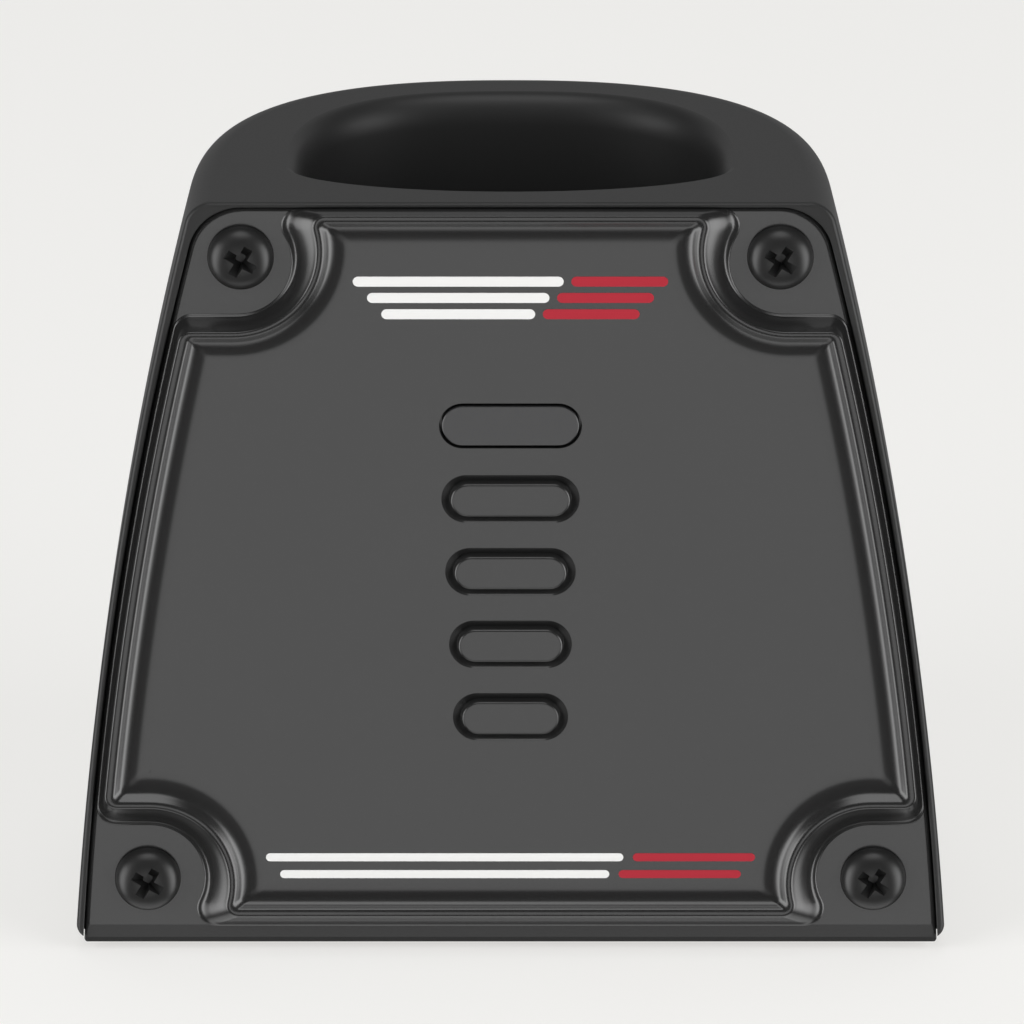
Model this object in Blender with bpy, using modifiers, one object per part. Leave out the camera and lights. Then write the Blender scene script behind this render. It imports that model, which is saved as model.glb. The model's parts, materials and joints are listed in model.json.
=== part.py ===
"""Charging base for a hair clipper, as an assembly of separate pieces.

The clipper stands tail down in the well in the top, on two sprung contacts. The front plate is
screwed into a recess in the front face, and the base cover closes the housing from below.
X is to the right, Y to the rear, Z up. The origin is on the surface that the feet stand on.
"""

import math

import bmesh
import bpy
from mathutils import Matrix, Vector

# ---------------------------------------------------------------- driving dimensions, in metres
# Body. Half-widths and depths are at the bottom, at half height and at the top.
FOOT_HEIGHT = 0.0015
BODY_HEIGHT = 0.0822
HALF_WIDTHS = (0.0463, 0.0419, 0.0337)
BODY_DEPTHS = (0.0680, 0.0603, 0.0439)
FACE_LEAN = math.radians(2.0)
SIDE_TAPER = 0.03
REAR_POWERS = (2.4, 3.5)
REAR_STEPS = 14
FRONT_EDGE_RADIUS = 0.0006
TOP_EDGE_RADIUS = 0.0022
BOTTOM_EDGE_RADIUS = 0.0016
WALL = 0.0022

# Well for the clipper's tail.
WELL_HALF_WIDTH = 0.0219
WELL_FRONT_REACH = 0.0076
WELL_REAR_REACH = 0.0224
WELL_FROM_FACE = 0.0115
WELL_REAR_POWERS = (2.6, 2.9)
WELL_DEPTH = 0.0380
WELL_DRAFT = 0.0009
WELL_LEAD_IN = 0.0016
WELL_WALL = 0.0018
WELL_FLOOR = 0.0022

# Front plate. Heights are measured outward from the plane of the housing's front lip.
SIDE_LIPS = (0.0006, 0.0005, 0.0009)
TOP_LIP = 0.0003
FIT_GAP = 0.0003
SEAT_GAP = 0.00015
RECESS_DEPTH = 0.0024
RECESS_FLOOR = 0.0016
PLATE_BACK = -0.0021
TRAY_LEVEL = -0.0005
PLATE_EDGE_RADIUS = 0.0009
PLATE_TOP_CORNER = 0.0056
PLATE_BOTTOM_CORNER = 0.0026

# Raised rim of the plate: it follows the plate's edge and swings inward round the screws. Each
# notch is an arc, given by its centre and radius at the rim's foot and at its crest.
RIM_SIDE_MARGIN = 0.0009
RIM_TOP_MARGIN = 0.0006
RIM_BOTTOM_MARGIN = 0.0017
RIM_HEIGHT = 0.0023
PANEL_HEIGHT = 0.0011
RIM_CORNER = 0.0018
RIM_LEAST_CORNER = 0.0006
TOP_NOTCH_FOOT = (0.0289, 0.0760, 0.0064)
TOP_NOTCH_CREST = (0.0293, 0.0775, 0.0090)
BOTTOM_NOTCH_FOOT = (0.0384, 0.0069, 0.0064)
BOTTOM_NOTCH_CREST = (0.0384, 0.0069, 0.0086)
NOTCH_CREST_RUN = 0.0022

# Five pills down the middle: the top one is the indicator window, the others are raised.
PILL_TOP_CENTRE = 0.0581
PILL_PITCH = 0.0082
PILL_HEIGHT = 0.0050
PILL_TOP_WIDTH = 0.0151
PILL_STEP = 0.0008
PILL_RAISE = 0.0008

# Front screws, by their place on the front face.
TOP_SCREW = (0.0284, 0.0762)
BOTTOM_SCREW = (0.0386, 0.0068)
FRONT_HEAD_RADIUS = 0.0035
FRONT_HEAD_HEIGHT = 0.0019
FRONT_SCREW_LENGTH = 0.0100
CROSS_TURNS = {"top_left": 22, "top_right": 25, "bottom_left": 24, "bottom_right": 20}

# Screws: the front, base and ballast screws share one size, the board and contact screws another.
SHANK_RADIUS = 0.0015
PILOT_RADIUS = 0.0018
SMALL_SHANK_RADIUS = 0.0011
SMALL_PILOT_RADIUS = 0.0014
SMALL_HEAD_RADIUS = 0.0022
SMALL_HEAD_HEIGHT = 0.0014
BASE_HEAD_RADIUS = 0.0028
FRONT_BOSS_RADIUS = 0.0031
BASE_BOSS_RADIUS = 0.0036
SMALL_BOSS_RADIUS = 0.0030

# Charging contacts.
CONTACT_X = 0.0065
CONTACT_PROUD = 0.0020
PLUNGER_RADIUS = 0.0012
FLANGE_RADIUS = 0.0021
BORE_RADIUS = 0.0026
TAIL_RADIUS = 0.0008
BLOCK_SIZE = (0.0250, 0.0140, 0.0110)
RETAINER_SIZE = (0.0400, 0.0120, 0.0020)
RETAINER_SCREW_X = 0.0160
TERMINAL_RADIUS = 0.0022
TERMINAL_TAIL_RADIUS = 0.0005
TERMINAL_TAIL = 0.0042
SPRING_RADIUS = 0.0016
SPRING_WIRE = 0.00025
SPRING_TURNS = 5

# Circuit board, parallel to the front face and behind it.
BOARD_SIZE = (0.0520, 0.0280, 0.0016)
BOARD_CENTRE = 0.0270
BOARD_FRONT = -0.0090
BOARD_SCREW_X = 0.0220
GUIDE_SIZE = (0.0120, 0.0035)
CONNECTOR_SIZE = (0.0110, 0.0060, 0.0050)
CONNECTOR_AT = (0.0130, 0.0190)

# Power inlet in the rear wall.
JACK_HEIGHT = 0.0123
JACK_SIZE = (0.0090, 0.0120, 0.0110)
JACK_INSET = 0.0024
JACK_NOSE_RADIUS = 0.0041
JACK_BORE_RADIUS = 0.0028
JACK_PIN_RADIUS = 0.0010

# Base.
COVER_BOTTOM = 0.0018
COVER_THICKNESS = 0.0027
BALLAST_SIZE = (0.0470, 0.0220, 0.0050)
BALLAST_Y = 0.0010
BALLAST_SCREW_X = 0.0200
BASE_SCREWS = ((0.0395, -0.0130), (0.0275, 0.0190))
FEET = ((0.0345, -0.0220), (0.0165, 0.0225))
FOOT_RADIUS = 0.0050
LABEL_SIZE = (0.0340, 0.0160, 0.0003)
LEAD_RADIUS = 0.0006

# ---------------------------------------------------------------- values worked out from those
BODY_TOP = FOOT_HEIGHT + BODY_HEIGHT
FACE_HEIGHT = BODY_HEIGHT / math.cos(FACE_LEAN)
RIM_PROUD = RIM_HEIGHT + TRAY_LEVEL
FACE_FRONT = -(BODY_DEPTHS[0] - RIM_PROUD) / 2
WELL_FLOOR_TOP = BODY_TOP - WELL_DEPTH
WELL_Y = FACE_FRONT + BODY_HEIGHT * math.tan(FACE_LEAN) + WELL_FROM_FACE
CONTACT_Y = WELL_Y + (WELL_REAR_REACH - WELL_FRONT_REACH) / 2
BLOCK_TOP = WELL_FLOOR_TOP - WELL_FLOOR - FIT_GAP
BLOCK_BOTTOM = BLOCK_TOP - BLOCK_SIZE[2]
PANEL_LEVEL = TRAY_LEVEL + PANEL_HEIGHT
COVER_TOP = COVER_BOTTOM + COVER_THICKNESS

# ---------------------------------------------------------------- scene and helpers
for old in list(bpy.data.objects):
    bpy.data.objects.remove(old, do_unlink=True)

PARTS = bpy.data.collections.new("clipper_charging_base")
CUTTERS = bpy.data.collections.new("cutters")
for group in (PARTS, CUTTERS):
    bpy.context.scene.collection.children.link(group)


def material(name, colour, roughness, metallic=0.0):
    made = bpy.data.materials.new(name)
    made.use_nodes = True
    shader = made.node_tree.nodes["Principled BSDF"]
    shader.inputs["Base Color"].default_value = (*colour, 1.0)
    shader.inputs["Roughness"].default_value = roughness
    shader.inputs["Metallic"].default_value = metallic
    return made


HOUSING_BLACK = material("housing_black", (0.030, 0.030, 0.030), 0.50)
POWDER_COAT = material("powder_coat", (0.045, 0.045, 0.046), 0.42)
SCREW_BLACK = material("screw_black", (0.020, 0.020, 0.020), 0.35, 0.6)
WINDOW_BLACK = material("window_black", (0.040, 0.040, 0.042), 0.30)
CLEAR = material("clear_plastic", (0.80, 0.82, 0.82), 0.15)
BOARD_GREEN = material("board_green", (0.02, 0.12, 0.05), 0.45)
BLACK_PLASTIC = material("black_plastic", (0.020, 0.020, 0.022), 0.45)
STEEL = material("steel", (0.55, 0.55, 0.56), 0.35, 1.0)
GOLD = material("gold_plate", (0.85, 0.62, 0.28), 0.25, 1.0)
ALUMINIUM = material("aluminium", (0.70, 0.70, 0.72), 0.30, 1.0)
RUBBER = material("rubber", (0.025, 0.025, 0.025), 0.85)
LABEL_GREY = material("label_grey", (0.60, 0.60, 0.60), 0.50)
RED_LEAD = material("red_lead", (0.45, 0.02, 0.02), 0.45)
BLACK_LEAD = material("black_lead", (0.015, 0.015, 0.015), 0.45)


def place(item, finish=None, parent=None, at=(0, 0, 0), turn=(0, 0, 0)):
    """Puts a piece in the parts, or in the cutters when it has no finish."""
    (PARTS if finish else CUTTERS).objects.link(item)
    item.location = at
    item.rotation_euler = turn
    item.parent = parent
    if finish:
        item.data.materials.append(finish)
    else:
        item.hide_render = True
        item.display_type = "WIRE"
    return item


def mesh_object(name, shape, smooth=None):
    data = bpy.data.meshes.new(name)
    shape.to_mesh(data)
    shape.free()
    if smooth is not None:
        data.shade_smooth()
        data.set_sharp_from_angle(angle=math.radians(smooth))
    return bpy.data.objects.new(name, data)


def box(name, size):
    shape = bmesh.new()
    bmesh.ops.create_cube(shape, size=1.0, matrix=Matrix.Diagonal((*size, 1.0)))
    return mesh_object(name, shape)


def cylinder(name, radius, depth, segments=16, top_radius=None):
    """Stands on the origin."""
    shape = bmesh.new()
    bmesh.ops.create_cone(
        shape,
        cap_ends=True,
        segments=segments,
        radius1=radius,
        radius2=radius if top_radius is None else top_radius,
        depth=depth,
        matrix=Matrix.Translation((0, 0, depth / 2)),
    )
    return mesh_object(name, shape, smooth=40)


def turned(name, profile, steps=16):
    """A piece turned about Z from (radius, height) points, from its top on the axis to its bottom."""
    data = bpy.data.meshes.new(name)
    points = [(radius, 0, height) for radius, height in profile]
    data.from_pydata(points, [(i, i + 1) for i in range(len(points) - 1)], [])
    item = bpy.data.objects.new(name, data)
    screw = item.modifiers.new("turn", "SCREW")
    screw.axis = "Z"
    screw.steps = steps
    screw.render_steps = steps
    screw.use_merge_vertices = True
    screw.merge_threshold = 0.00001
    return item


def loft(name, loops, smooth=35):
    """A closed skin through loops of equal length, with flat ends."""
    shape = bmesh.new()
    rings = [[shape.verts.new(point) for point in loop] for loop in loops]
    for low, high in zip(rings, rings[1:]):
        for i in range(len(low)):
            j = (i + 1) % len(low)
            shape.faces.new((low[i], low[j], high[j], high[i]))
    shape.faces.new(rings[0][::-1])
    shape.faces.new(rings[-1])
    bmesh.ops.recalc_face_normals(shape, faces=shape.faces)
    return mesh_object(name, shape, smooth)


def boolean(item, other, operation="DIFFERENCE"):
    step = item.modifiers.new(operation.lower(), "BOOLEAN")
    step.operation = operation
    step.solver = "EXACT"
    step.object = other


def soften(item, width, segments=1):
    bevel = item.modifiers.new("edges", "BEVEL")
    bevel.width = width
    bevel.segments = segments
    bevel.limit_method = "ANGLE"


def wire(name, points, radius, finish, cyclic=False):
    """A round wire along the given points."""
    curve = bpy.data.curves.new(name, "CURVE")
    curve.dimensions = "3D"
    curve.bevel_depth = radius
    curve.bevel_resolution = 2
    curve.use_fill_caps = True
    spline = curve.splines.new("POLY")
    spline.points.add(len(points) - 1)
    spline.use_cyclic_u = cyclic
    for slot, point in zip(spline.points, points):
        slot.co = (*point, 1.0)
    return place(bpy.data.objects.new(name, curve), finish)


def smooth_route(stops, steps=4):
    """Points of a smooth curve through the stops."""
    ends = [stops[0] * 2 - stops[1], *stops, stops[-1] * 2 - stops[-2]]
    route = []
    for a, b, c, d in zip(ends, ends[1:], ends[2:], ends[3:]):
        for step in range(steps):
            t = step / steps
            route.append(
                (b * 2 + (c - a) * t + (a * 2 - b * 5 + c * 4 - d) * t**2
                 + (b * 3 - a - c * 3 + d) * t**3) / 2
            )
    return [*route, stops[-1]]


# ---------------------------------------------------------------- plane geometry
def circle_through(a, b, c):
    """Centre and radius of the circle through three points of a plane."""
    ax, ay, bx, by = b[0] - a[0], b[1] - a[1], c[0] - a[0], c[1] - a[1]
    twice = 2 * (ax * by - ay * bx)
    x = (by * (ax**2 + ay**2) - ay * (bx**2 + by**2)) / twice
    y = (ax * (bx**2 + by**2) - bx * (ax**2 + ay**2)) / twice
    return Vector((a[0] + x, a[1] + y)), math.hypot(x, y)


SIDE_CENTRE, SIDE_RADIUS = circle_through(
    *zip(HALF_WIDTHS, (0, FACE_HEIGHT / 2, FACE_HEIGHT))
)
PLATE_CENTRE, PLATE_RADIUS = circle_through(
    *[(half - lip, height) for half, lip, height
      in zip(HALF_WIDTHS, SIDE_LIPS, (0, FACE_HEIGHT / 2, FACE_HEIGHT))]
)
REAR_CENTRE, REAR_RADIUS = circle_through(
    *zip(BODY_DEPTHS, (0, BODY_HEIGHT / 2, BODY_HEIGHT))
)


def sweep(centre, start, end, steps):
    """Points from start to end along the shorter arc about the centre, both included."""
    a = math.atan2(start.y - centre.y, start.x - centre.x)
    b = math.atan2(end.y - centre.y, end.x - centre.x)
    turn = (b - a + math.pi) % (2 * math.pi) - math.pi
    radius = (start - centre).length
    angles = [a + turn * i / steps for i in range(steps + 1)]
    return [centre + Vector((math.cos(t), math.sin(t))) * radius for t in angles]


def line_to_circle(height, inward, centre, radius, fillet):
    """Fillet between a level edge and a circle: its centre and its two ends.

    inward is +1 where the piece lies above the edge. The circle is either the plate's side, which
    the piece lies within, or a notch about a screw, which it lies outside.
    """
    level = height + inward * fillet
    within = centre is PLATE_CENTRE
    reach = radius - fillet if within else radius + fillet
    across = math.sqrt(reach**2 - (level - centre.y) ** 2)
    middle = Vector((centre.x + (across if within else -across), level))
    on_circle = centre + (middle - centre) * radius / reach
    return middle, Vector((middle.x, height)), on_circle


def mirrored(half):
    """The whole loop from its right half, which runs from the bottom to the top."""
    return half + [Vector((-point.x, point.y)) for point in reversed(half)]


def plate_loop(inset, bottom_inset=None):
    """Outline of the front plate on the face, drawn in by the inset."""
    low = FIT_GAP / 2 + (inset if bottom_inset is None else bottom_inset)
    high = FACE_HEIGHT - TOP_LIP - FIT_GAP - inset
    radius = PLATE_RADIUS - FIT_GAP - inset
    half = []
    corner, start, end = line_to_circle(
        low, 1, PLATE_CENTRE, radius, PLATE_BOTTOM_CORNER - inset / 2
    )
    half += sweep(corner, start, end, 4)
    top_corner, top_end, top_start = line_to_circle(
        high, -1, PLATE_CENTRE, radius, PLATE_TOP_CORNER - inset / 2
    )
    half += sweep(PLATE_CENTRE, end, top_start, 8)[1:-1]
    half += sweep(top_corner, top_start, top_end, 5)
    return mirrored(half)


def notch(foot, crest, run):
    """Centre and radius of a notch, this far out from its foot."""
    share = min(run / NOTCH_CREST_RUN, 1)
    x, y, radius = (a + (b - a) * share for a, b in zip(foot, crest))
    return Vector((x, y)), radius + max(run - NOTCH_CREST_RUN, 0)


def rim_loop(side_run, top_run, bottom_run, notch_run):
    """Outline of the rim, this far in from its outer foot along each edge and in the notches."""
    fillet = max(RIM_CORNER - side_run, RIM_LEAST_CORNER)
    side = PLATE_RADIUS - RIM_SIDE_MARGIN - side_run
    low = RIM_BOTTOM_MARGIN + bottom_run
    high = FACE_HEIGHT - RIM_TOP_MARGIN - top_run
    bottom, bottom_radius = notch(BOTTOM_NOTCH_FOOT, BOTTOM_NOTCH_CREST, notch_run)
    top, top_radius = notch(TOP_NOTCH_FOOT, TOP_NOTCH_CREST, notch_run)
    bottom_end = Vector((bottom.x, bottom.y + bottom_radius))
    top_end = Vector((top.x, top.y - top_radius))

    first, first_start, first_end = line_to_circle(low, 1, bottom, bottom_radius, fillet)
    lower, lower_start, lower_end = line_to_circle(
        bottom_end.y, 1, PLATE_CENTRE, side, fillet
    )
    upper, upper_end, upper_start = line_to_circle(
        top_end.y, -1, PLATE_CENTRE, side, fillet
    )
    last, last_end, last_start = line_to_circle(high, -1, top, top_radius, fillet)

    half = sweep(first, first_start, first_end, 3)
    half += sweep(bottom, first_end, bottom_end, 6)[1:]
    half += sweep(lower, lower_start, lower_end, 3)
    half += sweep(PLATE_CENTRE, lower_end, upper_start, 6)[1:-1]
    half += sweep(upper, upper_start, upper_end, 3)
    half += sweep(top, top_end, last_start, 6)[:-1]
    half += sweep(last, last_start, last_end, 3)
    return mirrored(half)


def pill_loop(width, height, steps=8):
    """Outline of a pill about the origin."""
    radius = height / 2
    reach = width / 2 - radius
    loop = []
    for centre_x, start in ((reach, -math.pi / 2), (-reach, math.pi / 2)):
        for i in range(steps + 1):
            angle = start + math.pi * i / steps
            loop.append(
                Vector((centre_x + radius * math.cos(angle), radius * math.sin(angle)))
            )
    return loop


def raised(loop, height, shift=0.0):
    """A plane loop at a height, moved up the face by the shift."""
    return [Vector((point.x, point.y + shift, height)) for point in loop]


def body_loop(z, inset, front_inset, edge_radius=FRONT_EDGE_RADIUS):
    """Level section of the body at z, drawn in by the insets."""
    rise = z - FOOT_HEIGHT
    front = FACE_FRONT + rise * math.tan(FACE_LEAN) + front_inset
    half = SIDE_CENTRE.x + math.sqrt(SIDE_RADIUS**2 - (rise - SIDE_CENTRE.y) ** 2) - inset
    reach = REAR_CENTRE.x + math.sqrt(REAR_RADIUS**2 - (rise - REAR_CENTRE.y) ** 2)
    depth = FACE_FRONT + reach - inset - front
    right = [Vector((half - edge_radius, front, z))]
    right.append(Vector((half - 0.3 * edge_radius, front + 0.3 * edge_radius, z)))
    begin = edge_radius / depth
    across, along = REAR_POWERS
    for i in range(REAR_STEPS):
        angle = math.pi / 2 * i / REAR_STEPS
        back = begin + (1 - begin) * math.sin(angle) ** (2 / along)
        width = (1 - back**along) ** (1 / across) * (1 - SIDE_TAPER * back)
        right.append(Vector((half * width, front + depth * back, z)))
    left = [Vector((-point.x, point.y, point.z)) for point in reversed(right)]
    return [*right, Vector((0, front + depth, z)), *left]


def well_loop(z, grow, front_grow, steps=12):
    """Level section of the well at z: a shallow arc in front and a fuller one behind."""
    across, along = WELL_REAR_POWERS
    half = WELL_HALF_WIDTH + grow
    loop = []
    for i in range(2 * steps):
        angle = math.pi * i / (2 * steps)
        side = math.copysign(abs(math.cos(angle)) ** (2 / across), math.cos(angle))
        back = math.sin(angle) ** (2 / along)
        loop.append(Vector((half * side, WELL_Y + (WELL_REAR_REACH + grow) * back, z)))
    for i in range(2 * steps):
        angle = math.pi * i / (2 * steps)
        reach = WELL_FRONT_REACH + front_grow
        loop.append(
            Vector((-half * math.cos(angle), WELL_Y - reach * math.sin(angle), z))
        )
    return loop


# ---------------------------------------------------------------- frames
def frame(name, at, turn=(0, 0, 0)):
    """An empty that pieces are placed from."""
    empty = bpy.data.objects.new(name, None)
    PARTS.objects.link(empty)
    empty.location = at
    empty.rotation_euler = turn
    return empty


# On the front face: X to the right, Y up the face, Z outward.
FACE = frame("face_frame", (0, FACE_FRONT, FOOT_HEIGHT), (math.pi / 2 - FACE_LEAN, 0, 0))
# On the inlet's axis at the back of its body: Z to the rear.
REAR_AT_JACK = FACE_FRONT + REAR_CENTRE.x + math.sqrt(
    REAR_RADIUS**2 - (JACK_HEIGHT - FOOT_HEIGHT - REAR_CENTRE.y) ** 2
)
JACK_BACK = REAR_AT_JACK - WALL - JACK_INSET - JACK_SIZE[1]
JACK = frame("jack_frame", (0, JACK_BACK, JACK_HEIGHT), (-math.pi / 2, 0, 0))

SIDES = {"left": -1, "right": 1}


def front_screw_places():
    for side, sign in SIDES.items():
        yield f"top_{side}", (sign * TOP_SCREW[0], TOP_SCREW[1])
        yield f"bottom_{side}", (sign * BOTTOM_SCREW[0], BOTTOM_SCREW[1])


def base_places(spots, names=("front", "rear")):
    for name, (x, y) in zip(names, spots):
        for side, sign in SIDES.items():
            yield f"{name}_{side}", (sign * x, y)


# ---------------------------------------------------------------- housing
def housing():
    """The moulded body, with the well in its top and bosses for every screw."""
    top, bottom = TOP_EDGE_RADIUS, BOTTOM_EDGE_RADIUS
    levels = [body_loop(FOOT_HEIGHT, bottom, 0)]
    levels.append(body_loop(FOOT_HEIGHT + 0.3 * bottom, 0.3 * bottom, 0))
    for i in range(8):
        z = FOOT_HEIGHT + bottom + (BODY_HEIGHT - bottom - top) * i / 7
        levels.append(body_loop(z, 0, 0))
    for angle in (30, 60, 90):
        turn = math.radians(angle)
        z = BODY_TOP - top * (1 - math.sin(turn))
        inset = top * (1 - math.cos(turn))
        levels.append(body_loop(z, inset, 0.1 * inset))
    shell = place(loft("housing_shell", levels), HOUSING_BLACK)

    cavity = hollow()
    boolean(shell, cavity)
    boolean(shell, well_cutter("well_space", 0.0, WELL_FLOOR_TOP, BODY_TOP + 0.001))
    boolean(shell, plate_recess())
    boolean(shell, guide_groove())
    for name, (x, y) in front_screw_places():
        hole = cylinder(f"pilot_{name}", PILOT_RADIUS, 0.0110)
        boolean(shell, place(hole, None, FACE, (x, y, -RECESS_DEPTH - 0.0095)))
    for name, (x, y) in base_places(BASE_SCREWS):
        hole = cylinder(f"base_pilot_{name}", PILOT_RADIUS, 0.0110)
        boolean(shell, place(hole, None, None, (x, y, COVER_TOP - 0.001)))
    for side, sign in SIDES.items():
        post_hole = cylinder(f"post_pilot_{side}", SMALL_PILOT_RADIUS, 0.0075)
        at = (sign * RETAINER_SCREW_X, CONTACT_Y, BLOCK_BOTTOM)
        boolean(shell, place(post_hole, None, None, at))
        board_hole = cylinder(f"board_pilot_{side}", SMALL_PILOT_RADIUS, 0.0050)
        at = (sign * BOARD_SCREW_X, BOARD_CENTRE, BOARD_FRONT - 0.0010)
        boolean(shell, place(board_hole, None, FACE, at))
        contact_hole = cylinder(f"contact_hole_{side}", PLUNGER_RADIUS + FIT_GAP, 0.0060)
        at = (sign * CONTACT_X, CONTACT_Y, WELL_FLOOR_TOP - 0.0045)
        boolean(shell, place(contact_hole, None, None, at))
    inlet = cylinder("inlet_hole", JACK_NOSE_RADIUS + FIT_GAP, 0.0100, 24)
    boolean(shell, place(inlet, None, JACK, (0, 0, JACK_SIZE[1] - 0.0010)))


def well_cutter(name, grow, low, high):
    """The well as a solid, or its outer wall when grown."""
    lead = WELL_LEAD_IN
    edge = BODY_TOP - 1.6 * lead
    loops = [well_loop(low, grow - WELL_DRAFT, grow - WELL_DRAFT)]
    loops.append(well_loop(edge, grow, grow))
    if not grow:
        loops.append(well_loop(BODY_TOP - 0.6 * lead, 0.30 * lead, 0))
        loops.append(well_loop(BODY_TOP, lead, 0))
    loops.append(well_loop(high, grow or lead, grow))
    return place(loft(name, loops))


def hollow():
    """The space inside the housing, less the well and the bosses that stand in it."""
    front = RECESS_DEPTH + RECESS_FLOOR
    levels = []
    for i in range(7):
        z = FOOT_HEIGHT + (BODY_HEIGHT - WALL) * i / 6
        levels.append(body_loop(z, WALL, front))
    lowest = [Vector((point.x, point.y, point.z - 0.002)) for point in levels[0]]
    space = place(loft("hollow", [lowest, *levels]))
    boolean(space, well_cutter("well_wall", WELL_WALL, WELL_FLOOR_TOP - WELL_FLOOR, BODY_TOP))
    for name, (x, y) in front_screw_places():
        boss = cylinder(f"boss_{name}", FRONT_BOSS_RADIUS, 0.0100)
        boolean(space, place(boss, None, FACE, (x, y, -0.0130)))
    for name, (x, y) in base_places(BASE_SCREWS):
        boss = cylinder(f"base_boss_{name}", BASE_BOSS_RADIUS, 0.0130)
        boolean(space, place(boss, None, None, (x, y, COVER_TOP + FIT_GAP)))
    for side, sign in SIDES.items():
        post = cylinder(f"post_{side}", SMALL_BOSS_RADIUS, 0.0125)
        at = (sign * RETAINER_SCREW_X, CONTACT_Y, BLOCK_BOTTOM + FIT_GAP)
        boolean(space, place(post, None, None, at))
        stand = cylinder(f"board_boss_{side}", SMALL_BOSS_RADIUS, 0.0060)
        at = (sign * BOARD_SCREW_X, BOARD_CENTRE, BOARD_FRONT + FIT_GAP)
        boolean(space, place(stand, None, FACE, at))
    return space


def plate_recess():
    """The seat of the front plate, open at the bottom edge between its corners."""
    outline = plate_loop(-FIT_GAP, -FIT_GAP)
    loops = [raised(outline, -RECESS_DEPTH), raised(outline, 0.004)]
    return place(loft("plate_recess", loops), None, FACE)


def guide_groove():
    """Slot behind the plate for the light guide."""
    slot = box("guide_groove", (0.0140, 0.0300, 0.0039))
    return place(slot, None, FACE, (0, 0.0475, -RECESS_DEPTH))


# ---------------------------------------------------------------- front plate, window and screws
# Section of the rim from its outer foot to the panel: height above the screw trays, then the run
# at the sides, at the top, at the bottom and in the notches.
RIM_SECTION = (
    (0.0, 0.0, 0.0, 0.0, 0.0),
    (0.0015, 0.0003, 0.0001, 0.0009, 0.0012),
    (0.0020, 0.0004, 0.0002, 0.0013, 0.0018),
    (RIM_HEIGHT, 0.0007, 0.0004, 0.0016, NOTCH_CREST_RUN),
    (RIM_HEIGHT, 0.0013, 0.0010, 0.0024, 0.0026),
    (0.0020, 0.0019, 0.0016, 0.0027, 0.0034),
    (0.0013, 0.0029, 0.0027, 0.0032, 0.0044),
    (PANEL_HEIGHT, 0.0042, 0.0042, 0.0042, 0.0055),
)


def front_plate():
    edge = PLATE_EDGE_RADIUS
    loops = [raised(plate_loop(0), PLATE_BACK), raised(plate_loop(0), TRAY_LEVEL - edge)]
    for angle in (45, 90):
        turn = math.radians(angle)
        inset = edge * (1 - math.cos(turn))
        height = TRAY_LEVEL - edge * (1 - math.sin(turn))
        loops.append(raised(plate_loop(inset), height))
    plate = place(loft("front_plate", loops), POWDER_COAT, FACE)

    rim = [raised(rim_loop(0, 0, 0, 0), TRAY_LEVEL - 0.0008)]
    for height, *runs in RIM_SECTION:
        rim.append(raised(rim_loop(*runs), TRAY_LEVEL + height))
    boolean(plate, place(loft("rim", rim), None, FACE), "UNION")

    for i in range(1, 5):
        width = PILL_TOP_WIDTH - PILL_STEP * i
        centre = PILL_TOP_CENTRE - PILL_PITCH * i
        loops = []
        for shrink, level in ((0, -0.0006), (0, 0), (0.0006, 0.7), (0.0012, 1.0)):
            rise = level if level < 0 else level * PILL_RAISE
            loop = pill_loop(width - shrink, PILL_HEIGHT - shrink, 6)
            loops.append(raised(loop, PANEL_LEVEL + rise, centre))
        boolean(plate, place(loft(f"pill_{i}", loops), None, FACE), "UNION")

    window_hole = [
        raised(pill_loop(PILL_TOP_WIDTH, PILL_HEIGHT), level, PILL_TOP_CENTRE)
        for level in (PLATE_BACK - 0.001, PANEL_LEVEL + 0.001)
    ]
    boolean(plate, place(loft("window_hole", window_hole), None, FACE))
    flange_seat = [
        raised(pill_loop(0.0174, 0.0073), level, PILL_TOP_CENTRE)
        for level in (PLATE_BACK - 0.001, PLATE_BACK + 0.0011)
    ]
    boolean(plate, place(loft("flange_seat", flange_seat), None, FACE))
    for name, (x, y) in front_screw_places():
        hole = cylinder(f"plate_hole_{name}", PILOT_RADIUS, 0.0040)
        boolean(plate, place(hole, None, FACE, (x, y, -0.0030)))


def indicator_window():
    """Pill-shaped lens flush with the panel, held by a flange behind it."""
    gap = 2 * 0.0002
    lens = pill_loop(PILL_TOP_WIDTH - gap, PILL_HEIGHT - gap)
    flange = pill_loop(0.0168, 0.0067)
    loops = [
        raised(flange, PLATE_BACK),
        raised(flange, PLATE_BACK + 0.0008),
        raised(lens, PLATE_BACK + 0.0008),
        raised(lens, PANEL_LEVEL),
    ]
    loops = [[Vector((p.x, p.y + PILL_TOP_CENTRE, p.z)) for p in loop] for loop in loops]
    place(loft("indicator_window", loops), WINDOW_BLACK, FACE)


def screw(name, finish, head, height, shank, length, parent, at, turn=(0, 0, 0), cross=None):
    """Pan-head screw whose head sits on the origin, with a cross recess where one is given."""
    profile = [
        (0, height),
        (0.50 * head, 0.93 * height),
        (0.80 * head, 0.68 * height),
        (0.97 * head, 0.28 * height),
        (head, 0.0),
        (shank, 0.0),
        (shank, -length + shank),
        (0.4 * shank, -length),
        (0, -length),
    ]
    item = place(turned(name, profile, 20 if cross else 12), finish, parent, at, turn)
    for arm, angle in enumerate((cross, cross + math.pi / 2) if cross else ()):
        bar = box(f"{name}_arm_{arm}", (1.05 * head, 0.22 * head, 1.2 * height))
        bar.parent = item
        CUTTERS.objects.link(bar)
        bar.location = (0, 0, height)
        bar.rotation_euler = (0, 0, angle)
        bar.hide_render = True
        bar.display_type = "WIRE"
        boolean(item, bar)


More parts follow.
